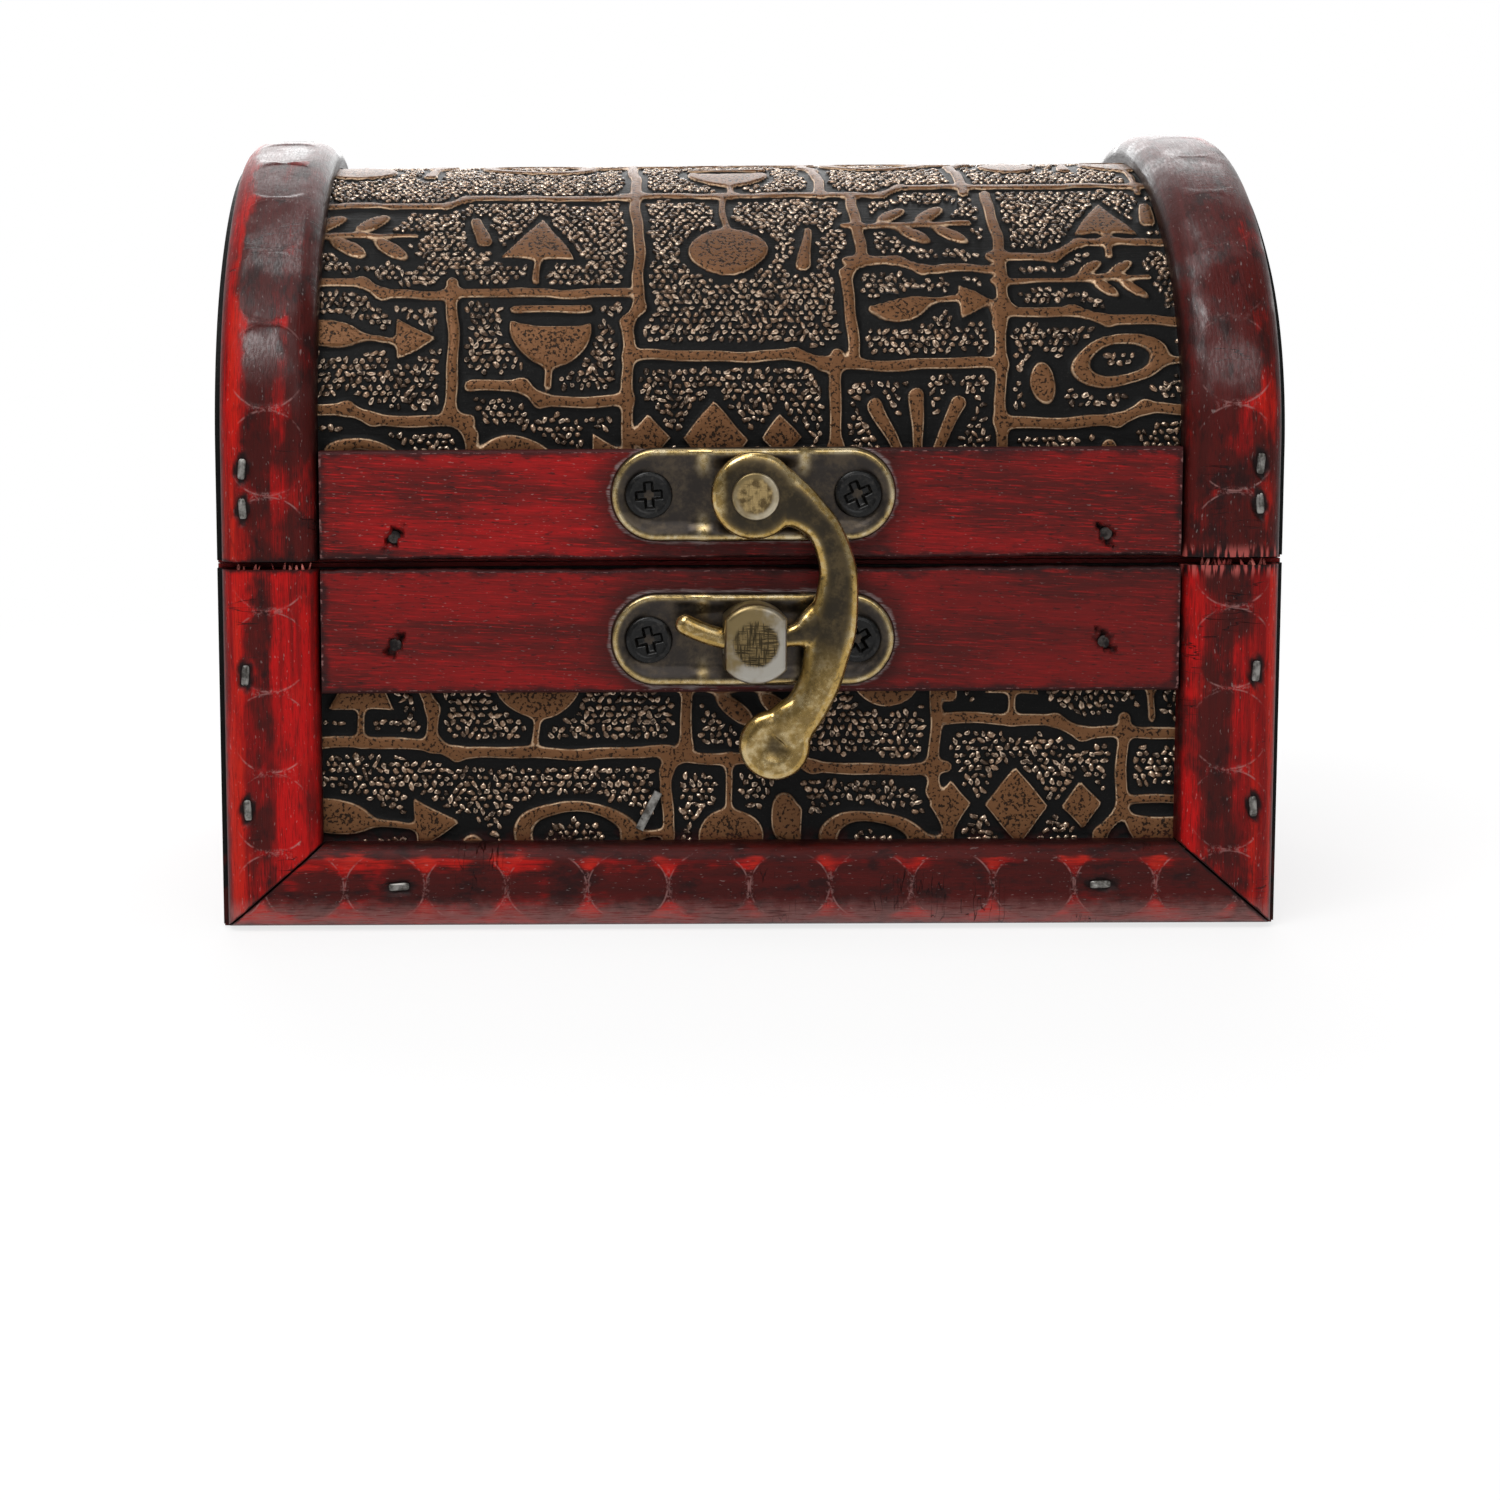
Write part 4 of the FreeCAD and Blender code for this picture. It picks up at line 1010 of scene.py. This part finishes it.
def brassFinish(name, look):
    # dark on the flats; bright where a rim is worn or a plate's ramp carries a painted glint, or where the surface
    # turns away from the main axes; darker in the paddle's dish, partly tarnish and partly a painted dark
    # reflection
    material, start = newFinish(name)
    place = objectPlace(start)
    speck = noise(place, 1.8, 5.0, 0.7)
    cloud = noise(place, 0.4, 3.0, 0.6)
    if look["rim"]:
        turned = attribute(start, "rim")
    else:
        normal = start.node("ShaderNodeNewGeometry", {}, {}, "Normal")
        normal = start.node("ShaderNodeVectorTransform", {"vector_type": "NORMAL", "convert_from": "WORLD",
                                                          "convert_to": "OBJECT"}, {"Vector": normal})
        sides = [abs(pick(normal, axis)) for axis in range(3)]
        flat = larger(larger(sides[0], sides[1]), sides[2])
        turned = fall(flat + (speck - 0.5) * 0.05, look["turned"], 0.998)
    low = fall(pick(place, 2) + (cloud - 0.5) * 5, look["goldBelow"] - 3, look["goldBelow"] + 2)
    low = larger(low, fall(pick(place, 0), look["goldLeft"] - 1.0, look["goldLeft"]))
    worn = turned * ease(speck + cloud * 0.4, 0.42, 0.66)
    worn = larger(worn, low * (0.4 + 0.5 * ease(speck * 0.3 + cloud, 0.5, 0.9)))
    # darker in the paddle's dish: partly tarnish in the hollow, partly a painted dark reflection
    dishX, dishZ, dishWide = look["dish"]
    x, z = pick(place, 0) - dishX, pick(place, 2) - dishZ
    dish = fall((x * x + z * z) ** 0.5 + (cloud - 0.5) * 1.2, 0.2, dishWide)
    worn = worn * (1 - 0.85 * dish)
    gold = mix(ease(speck * 0.5 + cloud * 0.5, 0.46, 0.62), look["gold"], look["silver"])
    metal = mix(ease(cloud * 0.5 + speck * 0.5, 0.42, 0.66), look["dark"], look["brown"])
    metal = mix(worn * look["wear"], metal, gold)
    close(start, {"Base Color": metal, "Metallic": 0.92, "Roughness": 0.34 + (speck - 0.5) * 0.3 - worn * 0.15,
                  "Normal": bump(speck * 0.014)})
    return material


pivotZ, catchZ = middleOf("hook_plate")[2], middleOf("catch_plate")[2]
reachDown = pivotZ - catchZ
paddleShare = (0.14, 1.713)
paddleX, paddleZ = latchX + reachDown * paddleShare[0], pivotZ - reachDown * paddleShare[1]
brassLook = dict(turned=0.88, dark=colour(0.034, 0.029, 0.026), brown=colour(0.072, 0.056, 0.040), rim=False,
                 gold=colour(0.44, 0.30, 0.11), silver=colour(0.58, 0.48, 0.30), wear=0.95, goldBelow=-50.0,
                 goldLeft=-90.0, dish=(paddleX, paddleZ, 1.8))
plateBrass = brassFinish("antique_brass_plate", dict(brassLook, rim=True, gold=colour(0.42, 0.30, 0.12)))
hingeBrass = brassFinish("antique_brass_hinge", brassLook)
hookBrass = brassFinish("antique_brass_hook", dict(brassLook, dark=colour(0.032, 0.026, 0.018), turned=0.9,
                                                   brown=colour(0.080, 0.058, 0.030), goldBelow=28.0,
                                                   goldLeft=latchX - 2.5, gold=colour(0.42, 0.275, 0.082),
                                                   silver=colour(0.56, 0.44, 0.235)))


def buttonFinish(name, look):
    # catch and rivet faces: a worn edge round a brass middle with fine crossed file marks; the edge goes from
    # brown to silver towards the right and bottom, partly worn silver and partly a painted highlight
    material, start = newFinish(name)
    place = objectPlace(start)
    speck = noise(place, 1.2, 4.0, 0.6)
    x, z = pick(place, 0) - look["middle"][0], pick(place, 2) - look["middle"][1]
    radius = (x * x + z * z) ** 0.5
    inner = fall(radius + (speck - 0.5) * 0.5, look["inner"] - 0.25, look["inner"] + 0.2)
    spots = noise(place, 0.45, 3.0, 0.6)
    rows = noise(stretch(place, (0.6, 0.6, 9.0)), 1.0, 2.0)
    columns = drawnNoise(place, 9.0, 0.6)
    marks = ease(larger(rows, columns), 0.5, 0.62) * look["marks"]
    brass = mix(ease(speck, 0.4, 0.62) * look["mottle"], look["brass"], look["dull"])
    brass = mix(marks, brass, look["groove"])
    # ring lighter towards the right and bottom: partly worn silver, partly a painted highlight on the bevel
    ring = mix(ease(spots + x * 0.06 - z * 0.05, 0.3, 0.76), look["ringLow"], look["ring"])
    close(start, {"Base Color": mix(inner, ring, brass), "Metallic": 0.92,
                  "Roughness": 0.34 + (speck - 0.5) * 0.25, "Normal": bump(speck * 0.015 - marks * inner * 0.03)})
    return material


def blackFinish():
    material, start = newFinish("black_screw_head")
    speck = noise(objectPlace(start), 3.0, 3.0)
    black = mix(ease(speck, 0.5, 0.75), colour(0.005, 0.005, 0.005), colour(0.022, 0.02, 0.018))
    close(start, {"Base Color": black, "Metallic": 0.6, "Roughness": 0.3 + (speck - 0.5) * 0.2,
                  "Normal": bump(speck * 0.01)})
    return material


def steelFinish(name, low, high):
    material, start = newFinish(name)
    speck = noise(objectPlace(start), 1.1, 3.0, 0.6)
    close(start, {"Base Color": mix(ease(speck, 0.36, 0.66), low, high), "Metallic": 0.85, "Roughness": 0.38,
                  "Normal": bump(speck * 0.05)})
    return material


screwBlack = blackFinish()
bradSteel = steelFinish("grey_brads", colour(0.06, 0.056, 0.05), colour(0.27, 0.262, 0.245))
nailSteel = steelFinish("dark_nails", colour(0.012, 0.010, 0.010), colour(0.07, 0.06, 0.055))


def capMesh(boundary, levels, rowsIn, around, base):
    # points shared out from the middle to a closed outline, each at its own height, then a wall down to base
    angle = np.linspace(0, 2 * math.pi, around, endpoint=False)
    share = np.sqrt(np.linspace(0, 1, rowsIn + 1))[1:, None]
    edge = boundary(angle)
    u, v = share * edge * np.cos(angle), share * edge * np.sin(angle)
    out = levels(u, v)
    u = np.concatenate([u, u[-1:]])
    v = np.concatenate([v, v[-1:]])
    out = np.concatenate([out, np.full((1, around), base)])
    points = np.stack([u, v, out], -1).reshape(-1, 3)
    middle = np.array([[0.0, 0.0, float(levels(np.zeros(1), np.zeros(1))[0])]])
    points = np.concatenate([points, middle])
    return points, [gridFaces(rowsIn + 1, around, True), fanFaces(np.arange(around), len(points) - 1)]


plateLook = dict(rim=0.5, rimWide=0.15, slope=1.5, bridgeHalf=3.9, bridgeRamp=2.6, around=360, rows=46,
                 rimTop=1.1, floor=0.66, upperBridge=0.58, lowerBridge=0.25)
railFace = corners("lid_front_rail")[0][1]


def pillEdge(angle):
    # how far the long round outline lies from its middle in each direction
    straight = plateHalf - plateRadius
    c, d = np.abs(np.cos(angle)), np.abs(np.sin(angle))
    onSide = plateRadius / np.clip(d, 1e-6, None)
    onEnd = straight * c + np.sqrt(np.clip(plateRadius ** 2 - (straight * d) ** 2, 0, None))
    return np.where(onSide * c <= straight, onSide, onEnd)


def putPlate(name, body, node, middleZ, bridgeRise):
    # dished plate: a rounded rim, a slope down to the floor, and a bridge pressed up across the middle
    rimTop, floor = plateLook["rimTop"], plateLook["floor"]

    def inset(u, v):
        past = np.clip(np.abs(u) - (plateHalf - plateRadius), 0, None)
        return plateRadius - np.hypot(past, v)

    def levels(u, v):
        inside = inset(u, v)
        edge = np.clip(inside / plateLook["rim"], 0, 1)
        rise = rimTop * (0.45 + 0.55 * np.sqrt(1 - (1 - edge) ** 2))
        start = plateLook["rim"] + plateLook["rimWide"]
        rise = rise - (rimTop - floor) * smooth(inside, start, start + plateLook["slope"])
        bridge = 1 - smooth(np.abs(u), plateLook["bridgeHalf"], plateLook["bridgeHalf"] + plateLook["bridgeRamp"])
        return rise + bridge * bridgeRise

    points, faceSets = capMesh(pillEdge, levels, plateLook["rows"], plateLook["around"], 0.0)
    # rim attribute: the worn rim band, and at the bridge ramps a painted glint that is partly wear too
    rim = np.exp(-((inset(points[:, 0], points[:, 1]) - 0.42) / 0.22) ** 2)
    rampWearAndGlint = np.abs(np.abs(points[:, 0]) - plateLook["bridgeHalf"] - plateLook["bridgeRamp"] * 0.4)
    rim = np.maximum(rim, 0.9 * np.exp(-(rampWearAndGlint / 0.5) ** 2) * smooth(np.abs(points[:, 1]), 1.2, 4.2)
                     * min(1, bridgeRise * 2.5))
    points = np.stack([latchX + points[:, 0], railFace - points[:, 2], middleZ + points[:, 1]], -1)
    putPiece(name, body, "antique_brass", plateBrass, points, faceSets, [node], {"rim": rim}, 60)


putPlate("latch_plate_upper", "lid", "hook_plate", pivotZ, plateLook["upperBridge"])
putPlate("latch_plate_lower", "base", "catch_plate", catchZ, plateLook["lowerBridge"])
buttonLook = dict(middle=(latchX, catchZ), inner=2.25, marks=0.95, brass=colour(0.19, 0.135, 0.06),
                  groove=colour(0.030, 0.023, 0.012), ring=colour(0.36, 0.34, 0.30),
                  ringLow=colour(0.19, 0.14, 0.065), mottle=0.4, dull=colour(0.07, 0.05, 0.024))
catchBrass = buttonFinish("catch_face", buttonLook)
rivetBrass = buttonFinish("rivet_face", dict(buttonLook, middle=(latchX, pivotZ), inner=1.75, marks=0.3,
                                             brass=colour(0.36, 0.26, 0.115), groove=colour(0.07, 0.05, 0.022),
                                             ring=colour(0.46, 0.40, 0.29), mottle=0.95,
                                             dull=colour(0.09, 0.06, 0.026)))

screwLook = dict(crossLong=1.3, crossWide=0.42, crossDeep=0.62, edge=0.35, seat=0.6, rise=0.42, bevel=0.2, rows=34,
                 around=120, turns=(4, 24, 12, 33))


def putScrews(name, body, node, z, turns):
    # flat round heads with a bevelled edge and a cross pressed in
    low, high = corners(node)
    radius = (high[2] - low[2]) / 2
    seat = railFace - screwLook["seat"]
    long, wide = screwLook["crossLong"], screwLook["crossWide"]
    lumps = []
    for spot, turn in zip((low[0] + radius, high[0] - radius), np.radians(turns)):
        def levels(u, v):
            a = np.abs(u * np.cos(turn) + v * np.sin(turn))
            b = np.abs(v * np.cos(turn) - u * np.sin(turn))
            arm = np.minimum(np.maximum(a - long, b - wide), np.maximum(b - long, a - wide))
            out = np.hypot(u, v)
            cross = (1 - smooth(arm, -0.2, 0.14)) * (1.1 - 0.5 * out / long)
            edge = np.clip((radius - out) / screwLook["edge"], 0, 1)
            ring = 0.06 * np.exp(-((out - radius + 0.45) / 0.16) ** 2)
            bevel = screwLook["bevel"] * np.sqrt(1 - (1 - edge) ** 2)
            return screwLook["rise"] + bevel + ring - screwLook["crossDeep"] * cross

        points, faceSets = capMesh(lambda angle: np.full(len(angle), radius), levels, screwLook["rows"],
                                   screwLook["around"], 0.0)
        lumps.append((np.stack([spot + points[:, 0], seat - points[:, 2], z + points[:, 1]], -1), faceSets))
    putPiece(name, body, "black_screw", screwBlack, *joined(lumps), [node], None, 50)


putScrews("upper_screw_heads", "lid", "hook_plate_screws", pivotZ, screwLook["turns"][:2])
putScrews("lower_screw_heads", "base", "catch_plate_screws", catchZ, screwLook["turns"][2:])


# Swing hook: eye, arm, tongue and paddle melted into one casting

hook = dict(back=-40.0, face=-42.1, eye=4.25, paddle=3.5, paddleDeep=1.4, paddleDish=0.8, tongueHalf=1.02,
            tongueDeep=0.88, tongueTurn=(12, -32.3), tongueRows=90, square=2.6, neckRound=0.6, melt=0.12, rounds=4,
            arm=[(0.0, 0.0, 4.05, 1.0), (0.13, -0.015, 3.5, 1.0), (0.28, -0.066, 2.4, 1.0),
                 (0.385, -0.14, 1.86, 1.0), (0.475, -0.236, 1.68, 1.0), (0.535, -0.37, 1.72, 1.0),
                 (0.572, -0.529, 1.87, 1.0), (0.562, -0.714, 2.14, 1.02), (0.525, -0.92, 2.5, 1.05),
                 (0.493, -1.09, 2.27, 1.1), (0.451, -1.267, 2.1, 1.2), (0.36, -1.45, 2.1, 1.3),
                 (0.267, -1.555, 2.45, 1.3), (0.17, -1.67, 2.9, 1.15)],
            root=[(0.12, -0.985, 0.95, 0.9), (0.22, -0.97, 1.0, 0.92), (0.31, -0.95, 1.3, 0.95),
                  (0.40, -0.92, 2.2, 1.0), (0.48, -0.90, 3.0, 1.0)])


def curveThrough(spots, count):
    # smooth line through spots: a Catmull-Rom curve, each stretch a cubic of its four nearest spots
    spots = np.array(spots, float)
    padded = np.concatenate([2 * spots[:1] - spots[1:2], spots, 2 * spots[-1:] - spots[-2:-1]])
    t = np.linspace(0, len(spots) - 1, count)
    i = np.clip(t.astype(int), 0, len(spots) - 2)
    f = (t - i)[:, None]
    a, b, c, d = (padded[i + k] for k in range(4))
    return b + 0.5 * f * (c - a + f * (2 * a - 5 * b + 4 * c - d + f * (3 * (b - c) + d - a)))


def barRings(path, half, depth, middleY, power):
    # a rounded rectangle, wide by half and deep by depth, carried along a path in the plane of the hook
    ahead = np.gradient(path, axis=0)
    ahead = ahead / np.linalg.norm(ahead, axis=1)[:, None]
    angle = np.linspace(0, 2 * math.pi, 44, endpoint=False)
    c, d = np.cos(angle), np.sin(angle)
    wide = np.sign(c) * np.abs(c) ** (2 / power)
    deep = np.sign(d) * np.abs(d) ** (2 / power)
    x = path[:, :1] + half[:, None] * wide * ahead[:, 1:]
    z = path[:, 1:] - half[:, None] * wide * ahead[:, :1]
    y = middleY[:, None] + depth[:, None] * deep
    return np.stack([x, y, z], -1)


def roundMesh(middle, radius, depth, power, dish):
    # flattened ball from its front pole to its back pole, with a dish pressed into the front
    rows, around = 46, 96
    turn = np.linspace(0, math.pi, rows + 2)[1:-1, None]
    angle = np.linspace(0, 2 * math.pi, around, endpoint=False)
    wide = radius * np.sin(turn) ** (2 / power)
    deep = depth * np.sign(np.cos(turn)) * np.abs(np.cos(turn)) ** (2 / power)
    deep = deep - dish * np.exp(-(wide / radius / 0.5) ** 2) * (deep > 0)
    rings = np.stack(np.broadcast_arrays(middle[0] + wide * np.cos(angle), middle[1] - deep,
                                         middle[2] + wide * np.sin(angle)), -1)
    return tubeMesh(rings)


middleDepth = (hook["back"] + hook["face"]) / 2
halfDepth = (hook["back"] - hook["face"]) / 2


def limbRings(spots, count):
    # a limb of the hook through spots given as shares of the reach, each with its half width and half depth
    line = curveThrough(spots, count)
    path = np.stack([latchX + reachDown * line[:, 0], pivotZ + reachDown * line[:, 1]], -1)
    power = hook["square"] - hook["neckRound"] * smooth(np.linspace(0, 1, count), 0.55, 0.75)
    return barRings(path, line[:, 2], line[:, 3], hook["back"] - line[:, 3], power[:, None])


sweep = np.radians(np.linspace(*hook["tongueTurn"], hook["tongueRows"]))
tonguePath = np.stack([latchX + reachDown * np.sin(sweep), pivotZ - reachDown * np.cos(sweep)], -1)
tipGap = (sweep - sweep[-1]) * reachDown
tipShare = np.sqrt(1 - (1 - np.clip(tipGap / hook["tongueHalf"], 0.02, 1)) ** 2)
tongueRings = barRings(tonguePath, hook["tongueHalf"] * tipShare, hook["tongueDeep"] * tipShare,
                       np.full(hook["tongueRows"], middleDepth), 2.1)
paddleAt = (paddleX, middleDepth - 0.25, paddleZ)
lumps = [roundMesh((latchX, middleDepth, pivotZ), hook["eye"], halfDepth, 4.2, 0.0), tubeMesh(tongueRings),
         tubeMesh(limbRings(hook["arm"], 160)), tubeMesh(limbRings(hook["root"], 60)),
         roundMesh(paddleAt, hook["paddle"], hook["paddleDeep"], 2.2, hook["paddleDish"])]
hookPiece = putPiece("swing_hook", "hook", "antique_brass", hookBrass, *joined(lumps), ["latch_hook"])
melt = hookPiece.modifiers.new("melt", "REMESH")
melt.mode = "VOXEL"
melt.voxel_size = hook["melt"] * 0.001
melt.use_smooth_shade = True
soften = hookPiece.modifiers.new("soften", "SMOOTH")
soften.factor = 0.5
soften.iterations = hook["rounds"]
print("latch done")


# Flat brads in their dips

brad = dict(long=1.0, short=0.38, power=5.0, below=0.16)


def putBrads(name, body, node, spots, lengthwise):
    # small square-ended heads, a little crowned, each turned by its own few degrees
    rng = np.random.default_rng(len(spots) + 5)
    power = brad["power"]

    def edge(angle):
        wide, tall = (brad["long"], brad["short"]) if lengthwise else (brad["short"], brad["long"])
        return (np.abs(np.cos(angle) / wide) ** power + np.abs(np.sin(angle) / tall) ** power) ** (-1 / power)

    def levels(u, v):
        reach = np.hypot(u, v) / edge(np.arctan2(v, u))
        groove = 0.06 * np.exp(-((v if lengthwise else u) / 0.09) ** 2)
        return -0.12 * reach ** 4 - groove

    lumps = []
    for x, z, side in spots:
        points, faceSets = capMesh(edge, levels, 10, 48, -0.8)
        turn = rng.uniform(-0.09, 0.09)
        u = points[:, 0] * math.cos(turn) - points[:, 1] * math.sin(turn)
        v = points[:, 0] * math.sin(turn) + points[:, 1] * math.cos(turn)
        face = arch["out"] + strip["thick"] - brad["below"] - rng.uniform(0.1, 0.2)
        faceSets = [faces[:, ::-side] for faces in faceSets]
        lumps.append((np.stack([x + u, side * (face + points[:, 2]), z + v], -1), faceSets))
    putPiece(name, body, "grey_steel", bradSteel, *joined(lumps), [node], None, 50)


for name, body, node, lengthwise in (("post_brad_heads", "base", "base_post_brads", False),
                                     ("moulding_brad_heads", "base", "base_moulding_brads", True),
                                     ("trim_brad_heads", "lid", "lid_trim_brads", False)):
    low, high = corners(node)
    inX, inZ = (bradHalf[key] for key in (("long", "short") if lengthwise else ("short", "long")))
    xs = (low[0] + inX, high[0] - inX)
    zs = sorted({round(low[2] + inZ, 3), round(high[2] - inZ, 3)})
    putBrads(name, body, node, [(x, z, side) for x in xs for z in zs for side in (-1, 1)], lengthwise)
print("brads done")


# Finishes on the solids that show as they are

def dress(names, material):
    for name in names:
        nodes[name].data.materials.clear()
        nodes[name].data.materials.append(material)


dress(["base_left_end", "base_right_end", "lid_left_end", "lid_right_end"], endWood)
dress(["base_front_board", "base_back_board", "lid_front_batten", "lid_back_batten"], longWood)
dress(["bottom_panel", "lid_arch_panel"], panelWood)
dress(["floor_nails", "leather_staple"], bradSteel)
dress(["base_rail_nails", "lid_rail_nails"], nailSteel)
dress(["catch_block"], catchBrass)
dress(["hook_rivet"], rivetBrass)
dress([name for name in nodes if "hinge" in name], hingeBrass)


# Floor, light and camera

studio = dict(floor=3.0, floorColour=colour(0.92, 0.92, 0.92), lift=0.75, fade=(0.12, 0.3), ambient=0.3,
              key=dict(place=(-0.25, -0.45, 0.68), size=0.4, watts=4.0),
              back=dict(place=(0.0, 0.85, 0.55), size=0.8, watts=7.0),
              top=dict(place=(-0.05, -0.02, 0.8), size=0.4, watts=1.2),
              front=dict(place=(0.2, -0.8, 0.42), size=0.45, watts=1.4))


def rays(start):
    # what the camera sees, and what it sees in a mirror or through glass
    direct, shiny, clear = (start.node("ShaderNodeLightPath", {}, {}, "Is %s Ray" % kind)
                            for kind in ("Camera", "Glossy", "Transmission"))
    return direct, larger(shiny, clear)


floorMesh = bpy.data.meshes.new("floor")
half = studio["floor"]
floorMesh.from_pydata([(-half, -half, 0), (half, -half, 0), (half, half, 0), (-half, half, 0)], [], [(0, 1, 2, 3)])
floor = bpy.data.objects.new("floor", floorMesh)
scene.collection.objects.link(floor)
floor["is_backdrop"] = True
material, start = newFinish("pale_floor")
direct, mirrored = rays(start)
plain = start.node("ShaderNodeBsdfDiffuse", {}, {"Color": studio["floorColour"]})
glow = start.node("ShaderNodeEmission", {}, {"Color": colour(1, 1, 1), "Strength": 1.0})
spot = start.node("ShaderNodeTexCoord", {}, {}, "Object")
far = ease(start.node("ShaderNodeVectorMath", {"operation": "LENGTH"}, {0: spot}, "Value"), *studio["fade"])
lit = larger(direct, mirrored) * (far * (1 - studio["lift"]) + studio["lift"])
floorMix = start.node("ShaderNodeMixShader", {}, {0: lit, 1: plain, 2: glow})
start.node("ShaderNodeOutputMaterial", {}, {"Surface": floorMix})
floorMesh.materials.append(material)

world = bpy.data.worlds.new("studio")
world.use_nodes = True
world.node_tree.nodes.clear()
scene.world = world
start = Wire(world.node_tree)
direct, mirrored = rays(start)
facing = start.node("ShaderNodeTexCoord", {}, {}, "Generated")
backdrop = ease(pick(facing, 1), 0.1, 0.6) * 0.9 + 0.1
strength = larger(larger(direct, mirrored * backdrop), studio["ambient"])
sky = start.node("ShaderNodeBackground", {}, {"Color": colour(1, 1, 1), "Strength": strength})
start.node("ShaderNodeOutputWorld", {}, {"Surface": sky})

for name in ("key", "back", "top", "front"):
    lampData = bpy.data.lights.new(name + "_softbox", "AREA")
    lampData.size = studio[name]["size"]
    lampData.energy = studio[name]["watts"]
    lamp = bpy.data.objects.new(name + "_softbox", lampData)
    lamp.location = studio[name]["place"]
    aim = np.array([0, 0, 0.04]) - np.array(studio[name]["place"])
    lamp.rotation_euler = (math.atan2(math.hypot(aim[0], aim[1]), -aim[2]), 0,
                           math.atan2(aim[0], -aim[1]) + math.pi)
    scene.collection.objects.link(lamp)

view = dict(place=(-0.0176, -0.3125, 0.0600), pitch=6.564, yaw=-0.71, roll=0.358, lens=67.08,
            shift=(0.1436, -0.0683))
cameraData = bpy.data.cameras.new("camera")
cameraData.lens = view["lens"]
cameraData.sensor_width = 36.0
cameraData.shift_x, cameraData.shift_y = view["shift"]
cameraData.clip_start, cameraData.clip_end = 0.01, 20.0
camera = bpy.data.objects.new("camera", cameraData)
camera.location = view["place"]
camera.rotation_euler = [math.radians(turn) for turn in (90 - view["pitch"], view["roll"], -view["yaw"])]
scene.collection.objects.link(camera)
scene.camera = camera
print("studio done")

low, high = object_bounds()
